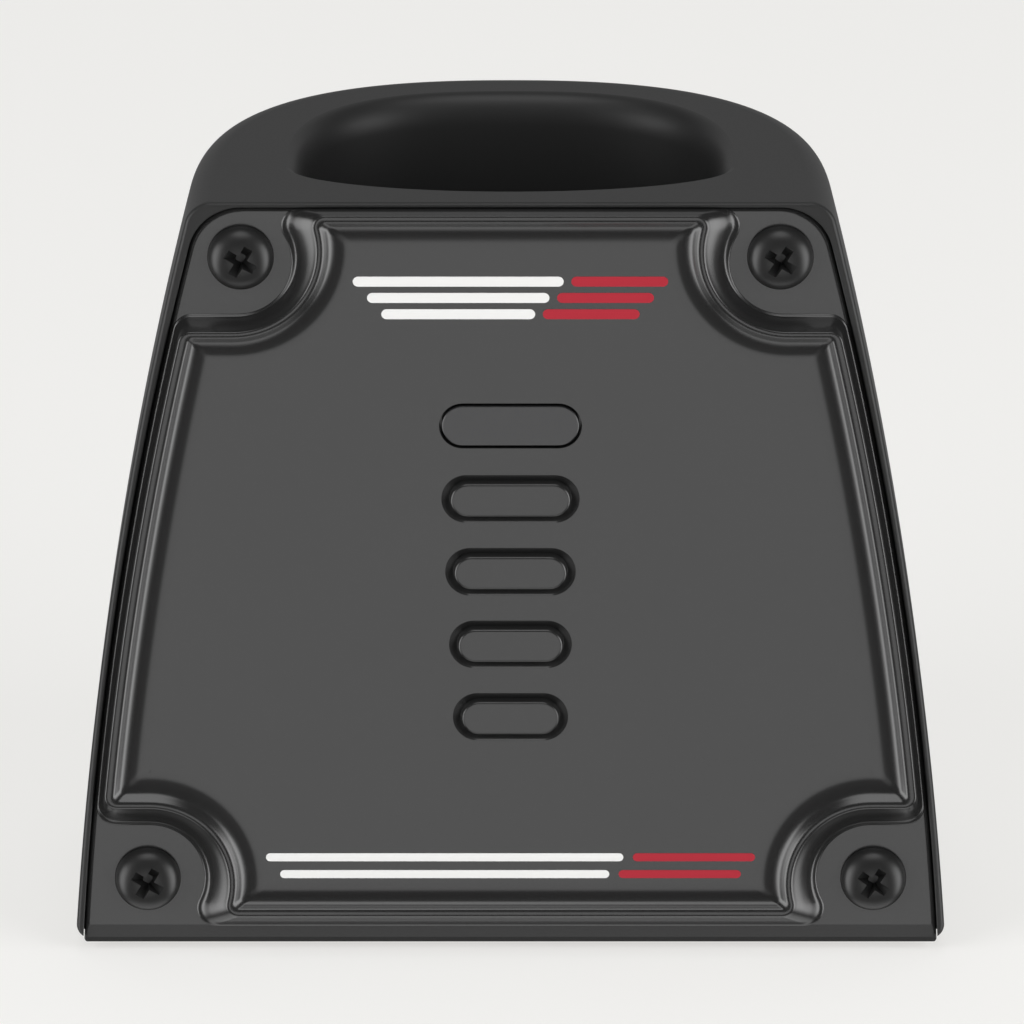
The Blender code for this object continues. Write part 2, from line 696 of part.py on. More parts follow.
def front_screws():
    for name, (x, y) in front_screw_places():
        screw(
            f"front_screw_{name}",
            SCREW_BLACK,
            FRONT_HEAD_RADIUS,
            FRONT_HEAD_HEIGHT,
            SHANK_RADIUS,
            FRONT_SCREW_LENGTH,
            FACE,
            (x, y, TRAY_LEVEL + SEAT_GAP),
            cross=math.radians(CROSS_TURNS[name]),
        )


def light_guide():
    """Clear strip behind the window, turned back at its foot to meet the LED."""
    front, back = PLATE_BACK - 0.0005, PLATE_BACK - 0.0018
    foot_end = BOARD_FRONT + 0.0020
    width, thickness = GUIDE_SIZE
    foot_low, foot_high, top = 0.0360, 0.0360 + thickness, 0.0605
    outline = [
        (front, foot_low),
        (front, top),
        (back, top),
        (back, foot_high),
        (foot_end, foot_high),
        (foot_end, foot_low),
    ]
    shape = bmesh.new()
    near = [shape.verts.new((-width / 2, y, z)) for z, y in outline]
    face = shape.faces.new(near)
    grown = bmesh.ops.extrude_face_region(shape, geom=[face])
    moved = [item for item in grown["geom"] if isinstance(item, bmesh.types.BMVert)]
    bmesh.ops.translate(shape, verts=moved, vec=(width, 0, 0))
    bmesh.ops.recalc_face_normals(shape, faces=shape.faces)
    place(mesh_object("light_guide", shape), CLEAR, FACE)


# ---------------------------------------------------------------- electronics
def circuit_board():
    width, height, thickness = BOARD_SIZE
    back = BOARD_FRONT - thickness
    middle = BOARD_FRONT - thickness / 2
    board = place(box("circuit_board", BOARD_SIZE), BOARD_GREEN, FACE, (0, BOARD_CENTRE, middle))
    for side, sign in SIDES.items():
        hole = cylinder(f"board_hole_{side}", SMALL_PILOT_RADIUS, 0.0040)
        at = (sign * BOARD_SCREW_X, BOARD_CENTRE, back - 0.001)
        boolean(board, place(hole, None, FACE, at))
        screw(
            f"board_screw_{side}", STEEL, SMALL_HEAD_RADIUS, SMALL_HEAD_HEIGHT,
            SMALL_SHANK_RADIUS, 0.0055, FACE,
            (sign * BOARD_SCREW_X, BOARD_CENTRE, back - SEAT_GAP), (math.pi, 0, 0),
        )
    led = box("indicator_led", (0.0050, 0.0026, 0.0014))
    soften(led, 0.0003)
    place(led, CLEAR, FACE, (0, 0.0378, BOARD_FRONT + SEAT_GAP + 0.0007))

    can = [(0, 0.0110), (0.0034, 0.0110), (0.0040, 0.0104), (0.0040, 0.0020), (0.0037, 0.0016),
           (0.0040, 0.0012), (0.0040, 0), (0, 0)]
    place(turned("capacitor", can), ALUMINIUM, FACE, (-0.0140, 0.0200, back - SEAT_GAP),
          (math.pi, 0, 0))
    coil = box("inductor", (0.0070, 0.0070, 0.0040))
    soften(coil, 0.0008)
    place(coil, BLACK_PLASTIC, FACE, (-0.0010, 0.0190, back - SEAT_GAP - 0.0020))
    chip = box("regulator_chip", (0.0050, 0.0040, 0.0016))
    soften(chip, 0.0002)
    place(chip, BLACK_PLASTIC, FACE, (-0.0010, 0.0300, back - SEAT_GAP - 0.0008))
    socket = box("board_connector", CONNECTOR_SIZE)
    soften(socket, 0.0003)
    place(socket, LABEL_GREY, FACE, (*CONNECTOR_AT, back - SEAT_GAP - CONNECTOR_SIZE[2] / 2))


# ---------------------------------------------------------------- charging contacts
PLUNGER_FLANGE_TOP = BLOCK_TOP - 0.0001
PLUNGER_FLANGE_BOTTOM = PLUNGER_FLANGE_TOP - 0.0012
TERMINAL_TOP = BLOCK_BOTTOM + 0.0004


def contacts():
    """Two sprung plungers in an insulating block under the well, and what holds them there."""
    block = box("contact_block", BLOCK_SIZE)
    soften(block, 0.0004)
    place(block, BLACK_PLASTIC, None, (0, CONTACT_Y, BLOCK_TOP - BLOCK_SIZE[2] / 2))
    retainer_top = BLOCK_BOTTOM - SEAT_GAP
    retainer = box("contact_retainer", RETAINER_SIZE)
    soften(retainer, 0.0004)
    place(retainer, BLACK_PLASTIC, None,
          (0, CONTACT_Y, retainer_top - RETAINER_SIZE[2] / 2))
    for side, sign in SIDES.items():
        x = sign * CONTACT_X
        bore = cylinder(f"bore_{side}", BORE_RADIUS, BLOCK_SIZE[2] + 0.002, 20)
        boolean(block, place(bore, None, None, (x, CONTACT_Y, BLOCK_BOTTOM - 0.001)))
        tail_hole = cylinder(f"tail_hole_{side}", TERMINAL_TAIL_RADIUS + FIT_GAP, 0.0040, 12)
        boolean(retainer, place(tail_hole, None, None, (x, CONTACT_Y, retainer_top - 0.003)))
        screw_hole = cylinder(f"retainer_hole_{side}", SMALL_PILOT_RADIUS, 0.0040)
        at = (sign * RETAINER_SCREW_X, CONTACT_Y, retainer_top - 0.003)
        boolean(retainer, place(screw_hole, None, None, at))
        screw(
            f"retainer_screw_{side}", STEEL, SMALL_HEAD_RADIUS, SMALL_HEAD_HEIGHT,
            SMALL_SHANK_RADIUS, 0.0080, None,
            (sign * RETAINER_SCREW_X, CONTACT_Y, retainer_top - RETAINER_SIZE[2] - SEAT_GAP),
            (math.pi, 0, 0),
        )
        tip = WELL_FLOOR_TOP + CONTACT_PROUD
        plunger = [
            (0, tip),
            (0.5 * PLUNGER_RADIUS, tip - 0.0002),
            (PLUNGER_RADIUS, tip - 0.0009),
            (PLUNGER_RADIUS, PLUNGER_FLANGE_TOP),
            (FLANGE_RADIUS, PLUNGER_FLANGE_TOP),
            (FLANGE_RADIUS, PLUNGER_FLANGE_BOTTOM),
            (TAIL_RADIUS, PLUNGER_FLANGE_BOTTOM),
            (TAIL_RADIUS, PLUNGER_FLANGE_BOTTOM - 0.0024),
            (0, PLUNGER_FLANGE_BOTTOM - 0.0024),
        ]
        plunger = [(radius, z - tip) for radius, z in plunger]
        place(turned(f"contact_pin_{side}", plunger), GOLD, None, (x, CONTACT_Y, tip))
        terminal = [
            (0, TERMINAL_TOP),
            (TERMINAL_RADIUS, TERMINAL_TOP),
            (TERMINAL_RADIUS, BLOCK_BOTTOM),
            (TERMINAL_TAIL_RADIUS, BLOCK_BOTTOM),
            (TERMINAL_TAIL_RADIUS, BLOCK_BOTTOM - TERMINAL_TAIL),
            (0, BLOCK_BOTTOM - TERMINAL_TAIL),
        ]
        terminal = [(radius, z - BLOCK_BOTTOM) for radius, z in terminal]
        place(turned(f"contact_terminal_{side}", terminal), GOLD, None,
              (x, CONTACT_Y, BLOCK_BOTTOM))
        wire(f"contact_spring_{side}", spring_points(x), SPRING_WIRE, STEEL)


def spring_points(x):
    """Helix between the terminal and the plunger's flange."""
    low = TERMINAL_TOP + SPRING_WIRE + SEAT_GAP
    high = PLUNGER_FLANGE_BOTTOM - SPRING_WIRE - SEAT_GAP
    count = 10 * SPRING_TURNS
    points = []
    for i in range(count + 1):
        angle = 2 * math.pi * SPRING_TURNS * i / count
        points.append((
            x + SPRING_RADIUS * math.cos(angle),
            CONTACT_Y + SPRING_RADIUS * math.sin(angle),
            low + (high - low) * i / count,
        ))
    return points


# ---------------------------------------------------------------- power inlet
def power_inlet():
    width, depth, height = JACK_SIZE
    body = place(box("jack_body", (width, height, depth)), BLACK_PLASTIC, JACK,
                 (0, 0, depth / 2))
    soften(body, 0.0004)
    nose = cylinder("jack_nose", JACK_NOSE_RADIUS, 0.0050, 24)
    boolean(body, place(nose, None, JACK, (0, 0, depth - 0.0010)), "UNION")
    bore = cylinder("jack_bore", JACK_BORE_RADIUS, 0.0120, 24)
    boolean(body, place(bore, None, JACK, (0, 0, depth - 0.0060)))
    pin_hole = cylinder("jack_pin_hole", JACK_PIN_RADIUS + 0.0003, 0.0100, 12)
    boolean(body, place(pin_hole, None, JACK, (0, 0, -0.0010)))
    tab_slot = box("jack_tab_slot", (0.0026, 0.0011, 0.0060))
    boolean(body, place(tab_slot, None, JACK, (0, 0.0040, 0)))

    tip = depth + 0.0030
    pin = [(0, tip), (0.7 * JACK_PIN_RADIUS, tip - 0.0002), (JACK_PIN_RADIUS, tip - 0.0007),
           (JACK_PIN_RADIUS, -0.0015), (0, -0.0015)]
    place(turned("jack_pin", pin, 12), STEEL, JACK)
    tab = box("jack_terminal", (0.0020, 0.0005, 0.0040))
    place(tab, STEEL, JACK, (0, 0.0040, 0.0004))


# ---------------------------------------------------------------- leads
def leads():
    """Power leads over the ballast to the board, and leads from the board to the contacts."""
    socket = FACE.matrix_world @ Vector(
        (*CONNECTOR_AT, BOARD_FRONT - BOARD_SIZE[2] - SEAT_GAP - CONNECTOR_SIZE[2])
    )
    behind = Vector((0, 0.0010, 0))
    for name, finish, height, slot in (
        ("inlet_lead_positive", RED_LEAD, 0.0, 0.0035),
        ("inlet_lead_negative", BLACK_LEAD, -0.0040, 0.0012),
    ):
        start = Vector((0, JACK_BACK - 0.0021, JACK_HEIGHT + height))
        end = socket + Vector((slot, 0.0003, -0.0012))
        high = 0.0152 if height == 0 else 0.0124
        stops = [
            start,
            start + Vector((0, -0.0012, 0.0002)),
            Vector((0.5 * slot, 0.0110, high)),
            Vector((0.0100 + slot, 0.0000, high)),
            end + 3 * behind,
            end,
        ]
        wire(name, smooth_route(stops), LEAD_RADIUS, finish)
    for side, sign in SIDES.items():
        slot = -0.0012 if side == "right" else -0.0040
        start = Vector((sign * CONTACT_X, CONTACT_Y, BLOCK_BOTTOM - 0.0046))
        end = socket + Vector((slot, 0.0003, 0.0014))
        stops = [
            start,
            start + Vector((0, 0.0004, -0.0025)),
            end + Vector((0, 0.0050, 0.0012)),
            end + 2 * behind,
            end,
        ]
        finish = RED_LEAD if side == "right" else BLACK_LEAD
        wire(f"contact_lead_{side}", smooth_route(stops), LEAD_RADIUS, finish)


# ---------------------------------------------------------------- base
def base():
    front = RECESS_DEPTH + RECESS_FLOOR + FIT_GAP
    loops = [body_loop(z, WALL + FIT_GAP, front) for z in (COVER_BOTTOM, COVER_TOP)]
    cover = place(loft("base_cover", loops), BLACK_PLASTIC)
    saddle_top = JACK_HEIGHT - JACK_SIZE[2] / 2 - SEAT_GAP
    saddle_height = saddle_top - COVER_TOP + 0.001
    saddle = place(box("saddle", (0.0110, 0.0080, saddle_height)), None, None,
                   (0, JACK_BACK + 0.0060, saddle_top - saddle_height / 2))
    boolean(cover, saddle, "UNION")
    for name, (x, y) in base_places(BASE_SCREWS):
        hole = cylinder(f"cover_hole_{name}", PILOT_RADIUS, 0.0060)
        boolean(cover, place(hole, None, None, (x, y, COVER_BOTTOM - 0.001)))
        pocket = cylinder(f"cover_pocket_{name}", BASE_HEAD_RADIUS + 0.0005, 0.0031)
        boolean(cover, place(pocket, None, None, (x, y, COVER_BOTTOM - 0.001)))
        screw(
            f"base_screw_{name}", STEEL, BASE_HEAD_RADIUS, 0.0016, SHANK_RADIUS, 0.0095, None,
            (x, y, COVER_BOTTOM + 0.0021 - SEAT_GAP), (math.pi, 0, 0), math.radians(20),
        )
    for name, (x, y) in base_places(FEET):
        seat = cylinder(f"foot_seat_{name}", FOOT_RADIUS + FIT_GAP, 0.0018, 20)
        boolean(cover, place(seat, None, None, (x, y, COVER_BOTTOM - 0.001)))
        high = COVER_BOTTOM + 0.0008 - SEAT_GAP
        foot = [(0, high), (FOOT_RADIUS, high), (FOOT_RADIUS, 0.0005),
                (FOOT_RADIUS - 0.0005, 0), (0, 0)]
        place(turned(f"foot_{name}", foot, 20), RUBBER, None, (x, y, 0))
    label_seat = box("label_seat", (LABEL_SIZE[0] + 0.001, LABEL_SIZE[1] + 0.001, 0.0014))
    boolean(cover, place(label_seat, None, None, (0, 0, COVER_BOTTOM - 0.0003)))
    label_level = COVER_BOTTOM + 0.0004 - SEAT_GAP - LABEL_SIZE[2] / 2
    place(box("rating_label", LABEL_SIZE), LABEL_GREY, None, (0, 0, label_level))

    ballast_low = COVER_TOP + SEAT_GAP
    ballast = box("ballast_plate", BALLAST_SIZE)
    soften(ballast, 0.0005)
    place(ballast, STEEL, None, (0, BALLAST_Y, ballast_low + BALLAST_SIZE[2] / 2))
    for side, sign in SIDES.items():
        at = (sign * BALLAST_SCREW_X, BALLAST_Y)
        hole = cylinder(f"ballast_hole_{side}", PILOT_RADIUS, 0.0100)
        boolean(ballast, place(hole, None, None, (*at, COVER_TOP - 0.001)))
        pilot = cylinder(f"ballast_pilot_{side}", PILOT_RADIUS, 0.0060)
        boolean(cover, place(pilot, None, None, (*at, COVER_TOP - 0.0020)))
        screw(
            f"ballast_screw_{side}", STEEL, BASE_HEAD_RADIUS, 0.0018, SHANK_RADIUS, 0.0068, None,
            (*at, ballast_low + BALLAST_SIZE[2] + SEAT_GAP),
        )


housing()
front_plate()
indicator_window()
front_screws()
light_guide()
circuit_board()
contacts()
power_inlet()
base()
bpy.context.view_layer.update()
leads()
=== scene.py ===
"""Looks for the clipper charging base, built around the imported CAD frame.

The housing, front plate, window, outer screws, contact pins and springs, inlet, cover and feet are
modelled again finely, in the frame's own metres. The other CAD nodes stay as they are and get
procedural materials. X is to the right, Y to the rear, Z up.
"""

import json
import math

import bmesh
import bpy
from mathutils import Matrix, Vector

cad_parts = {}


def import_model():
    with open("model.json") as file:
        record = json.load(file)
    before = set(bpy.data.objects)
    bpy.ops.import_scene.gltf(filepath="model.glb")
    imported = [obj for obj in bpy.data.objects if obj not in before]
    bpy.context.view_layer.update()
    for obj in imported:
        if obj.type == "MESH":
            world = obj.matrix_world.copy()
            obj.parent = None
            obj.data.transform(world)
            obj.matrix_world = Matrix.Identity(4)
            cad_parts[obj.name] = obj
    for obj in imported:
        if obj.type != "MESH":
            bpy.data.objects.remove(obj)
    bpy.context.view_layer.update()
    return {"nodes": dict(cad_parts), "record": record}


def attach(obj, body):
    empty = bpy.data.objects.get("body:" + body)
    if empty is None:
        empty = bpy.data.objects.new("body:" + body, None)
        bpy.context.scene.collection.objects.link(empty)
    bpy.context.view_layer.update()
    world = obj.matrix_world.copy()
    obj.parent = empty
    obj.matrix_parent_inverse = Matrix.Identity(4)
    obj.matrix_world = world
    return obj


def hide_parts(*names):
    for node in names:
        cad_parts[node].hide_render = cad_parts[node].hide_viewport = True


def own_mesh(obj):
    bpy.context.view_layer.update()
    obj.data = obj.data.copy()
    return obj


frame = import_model()

# ---------------------------------------------------------------- driving dimensions, in metres
FOOT_HEIGHT = 0.0015
BODY_HEIGHT = 0.0822
HALF_WIDTHS = (0.0463, 0.0419, 0.0337)
BODY_DEPTHS = (0.0680, 0.0603, 0.0439)
FACE_LEAN = math.radians(2.0)
SIDE_TAPER = 0.03
REAR_POWERS = (2.4, 3.5)
FRONT_EDGE_RADIUS = 0.0005
TOP_EDGE_RADIUS = 0.0022
TOP_FRONT_RADIUS = 0.0004
BOTTOM_EDGE_RADIUS = 0.0016
WALL = 0.0022

WELL_HALF_WIDTH = 0.0219
WELL_FRONT_REACH = 0.0076
WELL_REAR_REACH = 0.0224
WELL_FROM_FACE = 0.0115
WELL_REAR_POWERS = (2.6, 2.9)
WELL_DEPTH = 0.0380
WELL_DRAFT = 0.0009
WELL_LEAD_IN = 0.0019
WELL_LEAD_DEPTH = 0.0036
WELL_FRONT_LEAD_IN = 0.0003
WELL_WALL = 0.0018
WELL_FLOOR = 0.0022

SIDE_LIPS = (0.0006, 0.0005, 0.0009)
TOP_LIP = 0.0003
LIP_ROUND = 0.00012
FIT_GAP = 0.0003
RECESS_DEPTH = 0.0024
RECESS_FLOOR = 0.0016
RECESS_OPEN = 0.0030
PLATE_BACK = -0.0021
TRAY_LEVEL = -0.0005
PLATE_EDGE_RADIUS = 0.0005
PLATE_TOP_CORNER = 0.0056
PLATE_BOTTOM_CORNER = 0.0003
PLATE_REACH = 0.0005
PLATE_BOTTOM_EDGE = 0.0002
PLATE_BOTTOM_RUN = 0.0020
SEAM = 0.0001

RIM_SIDE_MARGIN = 0.0009
RIM_TOP_MARGIN = 0.0006
RIM_BOTTOM_MARGIN = 0.0017
RIM_HEIGHT = 0.0023
PANEL_HEIGHT = 0.0011
RIM_CORNER = 0.0018
RIM_LEAST_CORNER = 0.0006
TOP_NOTCH_FOOT = (0.0289, 0.0760, 0.0064)
TOP_NOTCH_CREST = (0.0293, 0.0775, 0.0090)
BOTTOM_NOTCH_FOOT = (0.0384, 0.0069, 0.0064)
BOTTOM_NOTCH_CREST = (0.0384, 0.0069, 0.0086)
NOTCH_CREST_RUN = 0.0022

PILL_TOP_CENTRE = 0.0578
PILL_PITCH = 0.00812
PILL_HEIGHT = 0.0050
PILL_TOP_WIDTH = 0.0151
PILL_STEP = 0.0008
PILL_RAISE = 0.0006
PILL_MOAT = 0.0006
WINDOW_GAP = 0.0003

TOP_SCREW = (0.0284, 0.0762)
BOTTOM_SCREW = (0.0386, 0.0068)
FRONT_HEAD_RADIUS = 0.0035
FRONT_HEAD_HEIGHT = 0.0019
FRONT_SCREW_LENGTH = 0.0100
SHANK_RADIUS = 0.0015
PILOT_RADIUS = 0.0018
SEAT_GAP = 0.00015
# How far each cross recess is turned about its screw, in degrees.
CROSS_TURNS = {"top_left": 60, "top_right": 57, "bottom_left": 60, "bottom_right": 56}
BASE_CROSS_TURN = 20
BASE_HEAD_RADIUS = 0.0028
BASE_HEAD_HEIGHT = 0.0016
BASE_SCREW_LENGTH = 0.0095

CONTACT_X = 0.0065
PLUNGER_RADIUS = 0.0012
FLANGE_RADIUS = 0.0021
FLANGE_HEIGHT = 0.0012
TAIL_RADIUS = 0.0008
TAIL_LENGTH = 0.0024
CONTACT_PROUD = 0.0020
SPRING_RADIUS = 0.0016
SPRING_WIRE = 0.00025
SPRING_TURNS = 5
JACK_HEIGHT = 0.0123
JACK_NOSE_RADIUS = 0.0041

BODY_TOP = FOOT_HEIGHT + BODY_HEIGHT
FACE_HEIGHT = BODY_HEIGHT / math.cos(FACE_LEAN)
FACE_FRONT = -(BODY_DEPTHS[0] - RIM_HEIGHT - TRAY_LEVEL) / 2
WELL_FLOOR_TOP = BODY_TOP - WELL_DEPTH
WELL_Y = FACE_FRONT + BODY_HEIGHT * math.tan(FACE_LEAN) + WELL_FROM_FACE
CONTACT_Y = WELL_Y + (WELL_REAR_REACH - WELL_FRONT_REACH) / 2
PANEL_LEVEL = TRAY_LEVEL + PANEL_HEIGHT
SIDES = {"left": -1, "right": 1}

# On the front face: X to the right, Y up the face, Z outward.
FACE = Matrix.Translation((0, FACE_FRONT, FOOT_HEIGHT)) @ Matrix.Rotation(
    math.pi / 2 - FACE_LEAN, 4, "X"
)
UPRIGHT = Matrix.Identity(4)


# ---------------------------------------------------------------- camera, floor and lights
# Softboxes: place and size in metres, power in watts.
LEFT_AT = (-0.85, -0.60, 0.45)
LEFT_SIZE = (0.80, 1.00)
LEFT_POWER = 9.0
RIGHT_AT = (0.85, -0.55, 0.45)
RIGHT_SIZE = (0.90, 1.00)
RIGHT_POWER = 9.0
OVERHEAD_AT = (0.0, 0.10, 1.10)
OVERHEAD_SIZE = (0.60, 0.60)
OVERHEAD_POWER = 3.0
FRONT_AT = (0.0, -1.50, 0.95)
FRONT_SIZE = (0.80, 0.40)
FRONT_POWER = 1.0
AMBIENT = 0.12
# What glossy surfaces reflect, by direction: each card or box fades in between its edges.
CARD_TILT = math.radians(-16.6)
CARD_DIRECTION = (0.0, -math.cos(CARD_TILT), math.sin(CARD_TILT))
CARD_EDGES = (0.955, 0.990)
CARD_STRENGTH = 1.22
LEFT_EDGES = (-0.58, -0.82)
LEFT_STRENGTH = 3.6
RIGHT_EDGES = (0.58, 0.82)
RIGHT_STRENGTH = 3.8
BELOW_EDGES = (-0.78, -0.92)
BELOW_STRENGTH = 1.1
BEHIND_EDGES = (0.20, 0.80)
BEHIND_STRENGTH = 0.44
ABOVE_DIRECTION = (0.0, -0.42, 0.91)
ABOVE_EDGES = (0.90, 0.98)
ABOVE_STRENGTH = 2.0
# The side boxes fade in towards the front, by Y, and downwards, by Z.
SIDE_END = (0.05, -0.35)
SIDE_TOP = (0.45, 0.15)
DARK_STUDIO = 0.01
BACKDROP = (0.855, 0.847, 0.823)
FLOOR_COLOUR = (0.30, 0.30, 0.30)
FLOOR_GLOW = 0.745

FLOOR_REACH = 0.8
LIGHTS_AIM = (0, 0, 0.045)

CAMERA_ELEVATION = math.radians(20.6)
CAMERA_DISTANCE = 1.95
CAMERA_AIM = Vector((0.00016, -0.0002, 0.03776))
CAMERA_LENS = 637.6
SENSOR = 36.0


def camera():
    data = bpy.data.cameras.new("camera")
    data.sensor_width = SENSOR
    data.lens = CAMERA_LENS
    item = bpy.data.objects.new("camera", data)
    bpy.context.scene.collection.objects.link(item)
    back = Vector((0, -math.cos(CAMERA_ELEVATION), math.sin(CAMERA_ELEVATION)))
    item.location = CAMERA_AIM + back * CAMERA_DISTANCE
    item.rotation_euler = (math.pi / 2 - CAMERA_ELEVATION, 0, 0)
    bpy.context.scene.camera = item


def softbox(name, at, aim, size, power):
    data = bpy.data.lights.new(name, "AREA")
    data.shape = "RECTANGLE"
    data.size, data.size_y = size
    data.energy = power
    item = bpy.data.objects.new(name, data)
    bpy.context.scene.collection.objects.link(item)
    item.location = at
    item.rotation_mode = "QUATERNION"
    item.rotation_quaternion = (Vector(aim) - Vector(at)).to_track_quat("-Z", "Y")
    item.visible_glossy = False


def floor_and_lights():
    """Pale floor, a soft light on each side, one overhead and a weak one in front."""
    shape = bmesh.new()
    bmesh.ops.create_grid(shape, x_segments=1, y_segments=1, size=FLOOR_REACH)
    floor = mesh_object("floor", shape)
    link(floor)
    floor.data.materials.append(FLOOR)
    floor.visible_glossy = False
    softbox("light_left", LEFT_AT, LIGHTS_AIM, LEFT_SIZE, LEFT_POWER)
    softbox("light_right", RIGHT_AT, LIGHTS_AIM, RIGHT_SIZE, RIGHT_POWER)
    softbox("light_overhead", OVERHEAD_AT, LIGHTS_AIM, OVERHEAD_SIZE, OVERHEAD_POWER)
    softbox("light_front", FRONT_AT, LIGHTS_AIM, FRONT_SIZE, FRONT_POWER)


def world():
    """Pale behind the object. Reflections show cards and boxes all round and a dark studio."""
    made = bpy.data.worlds.new("studio")
    bpy.context.scene.world = made
    made.use_nodes = True
    nodes, links = made.node_tree.nodes, made.node_tree.links
    nodes.clear()

    def ramp(source, start, end, strength):
        step = nodes.new("ShaderNodeMapRange")
        step.interpolation_type = "SMOOTHSTEP"
        step.inputs["From Min"].default_value = start
        step.inputs["From Max"].default_value = end
        step.inputs["To Max"].default_value = strength
        links.new(source, step.inputs["Value"])
        return step.outputs["Result"]

    def maths(operation, first, second):
        step = nodes.new("ShaderNodeMath")
        step.operation = operation
        links.new(first, step.inputs[0])
        if isinstance(second, float):
            step.inputs[1].default_value = second
        else:
            links.new(second, step.inputs[1])
        return step.outputs[0]

    direction = nodes.new("ShaderNodeTexCoord").outputs["Generated"]

    def towards(aim):
        step = nodes.new("ShaderNodeVectorMath")
        step.operation = "DOT_PRODUCT"
        step.inputs[1].default_value = aim
        links.new(direction, step.inputs[0])
        return step.outputs["Value"]

    card = ramp(towards(CARD_DIRECTION), *CARD_EDGES, CARD_STRENGTH)
    above = ramp(towards(ABOVE_DIRECTION), *ABOVE_EDGES, ABOVE_STRENGTH)
    parts = nodes.new("ShaderNodeSeparateXYZ")
    links.new(direction, parts.inputs[0])
    left = ramp(parts.outputs["X"], *LEFT_EDGES, LEFT_STRENGTH)
    right = ramp(parts.outputs["X"], *RIGHT_EDGES, RIGHT_STRENGTH)
    below = ramp(parts.outputs["Z"], *BELOW_EDGES, BELOW_STRENGTH)
    behind = ramp(parts.outputs["Y"], *BEHIND_EDGES, BEHIND_STRENGTH)
    front = ramp(parts.outputs["Y"], *SIDE_END, 1.0)
    low = ramp(parts.outputs["Z"], *SIDE_TOP, 1.0)
    sides = maths("MULTIPLY", maths("MAXIMUM", left, right), maths("MULTIPLY", front, low))
    total = maths("ADD", card, DARK_STUDIO)
    for share in (sides, below, behind, above):
        total = maths("MAXIMUM", total, share)

    path = nodes.new("ShaderNodeLightPath")
    seen = nodes.new("ShaderNodeBackground")
    seen.inputs["Color"].default_value = (*BACKDROP, 1.0)
    around = nodes.new("ShaderNodeBackground")
    around.inputs["Color"].default_value = (AMBIENT, AMBIENT, AMBIENT, 1.0)
    reflected = nodes.new("ShaderNodeBackground")
    links.new(total, reflected.inputs["Strength"])
    gloss = nodes.new("ShaderNodeMixShader")
    links.new(path.outputs["Is Glossy Ray"], gloss.inputs[0])
    links.new(around.outputs[0], gloss.inputs[1])
    links.new(reflected.outputs[0], gloss.inputs[2])
    mix = nodes.new("ShaderNodeMixShader")
    out = nodes.new("ShaderNodeOutputWorld")
    links.new(path.outputs["Is Camera Ray"], mix.inputs[0])
    links.new(gloss.outputs[0], mix.inputs[1])
    links.new(seen.outputs[0], mix.inputs[2])
    links.new(mix.outputs[0], out.inputs["Surface"])


# ---------------------------------------------------------------- materials
def material(name, colour, roughness, metallic=0.0, mottle=0.06, mottle_size=0.012,
             grain=0.00025, depth=0.000003, strength=0.15, specular=0.5):
    """Principled material with soft colour mottling, uneven gloss and a fine moulded grain."""
    made = bpy.data.materials.new(name)
    made.use_nodes = True
    nodes, links = made.node_tree.nodes, made.node_tree.links
    shader = nodes["Principled BSDF"]
    shader.inputs["Metallic"].default_value = metallic
    shader.inputs["Specular IOR Level"].default_value = specular
    place = nodes.new("ShaderNodeTexCoord")

    cloud = nodes.new("ShaderNodeTexNoise")
    cloud.inputs["Scale"].default_value = 1 / mottle_size
    cloud.inputs["Detail"].default_value = 4.0
    links.new(place.outputs["Object"], cloud.inputs["Vector"])
    tint = nodes.new("ShaderNodeMapRange")
    tint.inputs["To Min"].default_value = 1 - mottle
    tint.inputs["To Max"].default_value = 1 + mottle
    links.new(cloud.outputs["Fac"], tint.inputs["Value"])
    shade = nodes.new("ShaderNodeVectorMath")
    shade.operation = "SCALE"
    shade.inputs[0].default_value = colour
    links.new(tint.outputs["Result"], shade.inputs["Scale"])
    links.new(shade.outputs["Vector"], shader.inputs["Base Color"])

    fine = nodes.new("ShaderNodeTexNoise")
    fine.inputs["Scale"].default_value = 1 / grain
    fine.inputs["Detail"].default_value = 3.0
    links.new(place.outputs["Object"], fine.inputs["Vector"])
    gloss = nodes.new("ShaderNodeMapRange")
    gloss.inputs["To Min"].default_value = roughness - 0.04
    gloss.inputs["To Max"].default_value = roughness + 0.04
    links.new(fine.outputs["Fac"], gloss.inputs["Value"])
    links.new(gloss.outputs["Result"], shader.inputs["Roughness"])
    bump = nodes.new("ShaderNodeBump")
    bump.inputs["Strength"].default_value = strength
    bump.inputs["Distance"].default_value = depth
    links.new(fine.outputs["Fac"], bump.inputs["Height"])
    links.new(bump.outputs["Normal"], shader.inputs["Normal"])
    return made


FLOOR = material("floor_paper", FLOOR_COLOUR, 0.9, mottle=0.004, depth=0.0, specular=0.0)
GLOW = FLOOR.node_tree.nodes["Principled BSDF"]
GLOW.inputs["Emission Color"].default_value = (*BACKDROP, 1.0)
GLOW.inputs["Emission Strength"].default_value = FLOOR_GLOW
HOUSING = material("housing_black", (0.019, 0.019, 0.019), 0.46, specular=0.6)
COAT = material("powder_coat", (0.017, 0.017, 0.017), 0.23, specular=1.0)
SCREW = material("screw_black", (0.016, 0.016, 0.016), 0.34, mottle_size=0.002, specular=0.6)
WINDOW = material("window_black", (0.018, 0.018, 0.019), 0.23, specular=1.0)
INK_WHITE = material("ink_white", (0.80, 0.80, 0.79), 0.45, mottle=0.02, depth=0.000004)
INK_RED = material("ink_red", (0.40, 0.012, 0.028), 0.45, mottle=0.03, depth=0.000004)
CLEAR = material("clear_plastic", (0.78, 0.80, 0.80), 0.18, mottle=0.02, depth=0.000002)
BOARD = material("board_green", (0.02, 0.12, 0.05), 0.40, mottle=0.15, mottle_size=0.003)
PLASTIC = material("black_plastic", (0.022, 0.022, 0.024), 0.50, grain=0.00035, depth=0.00002)
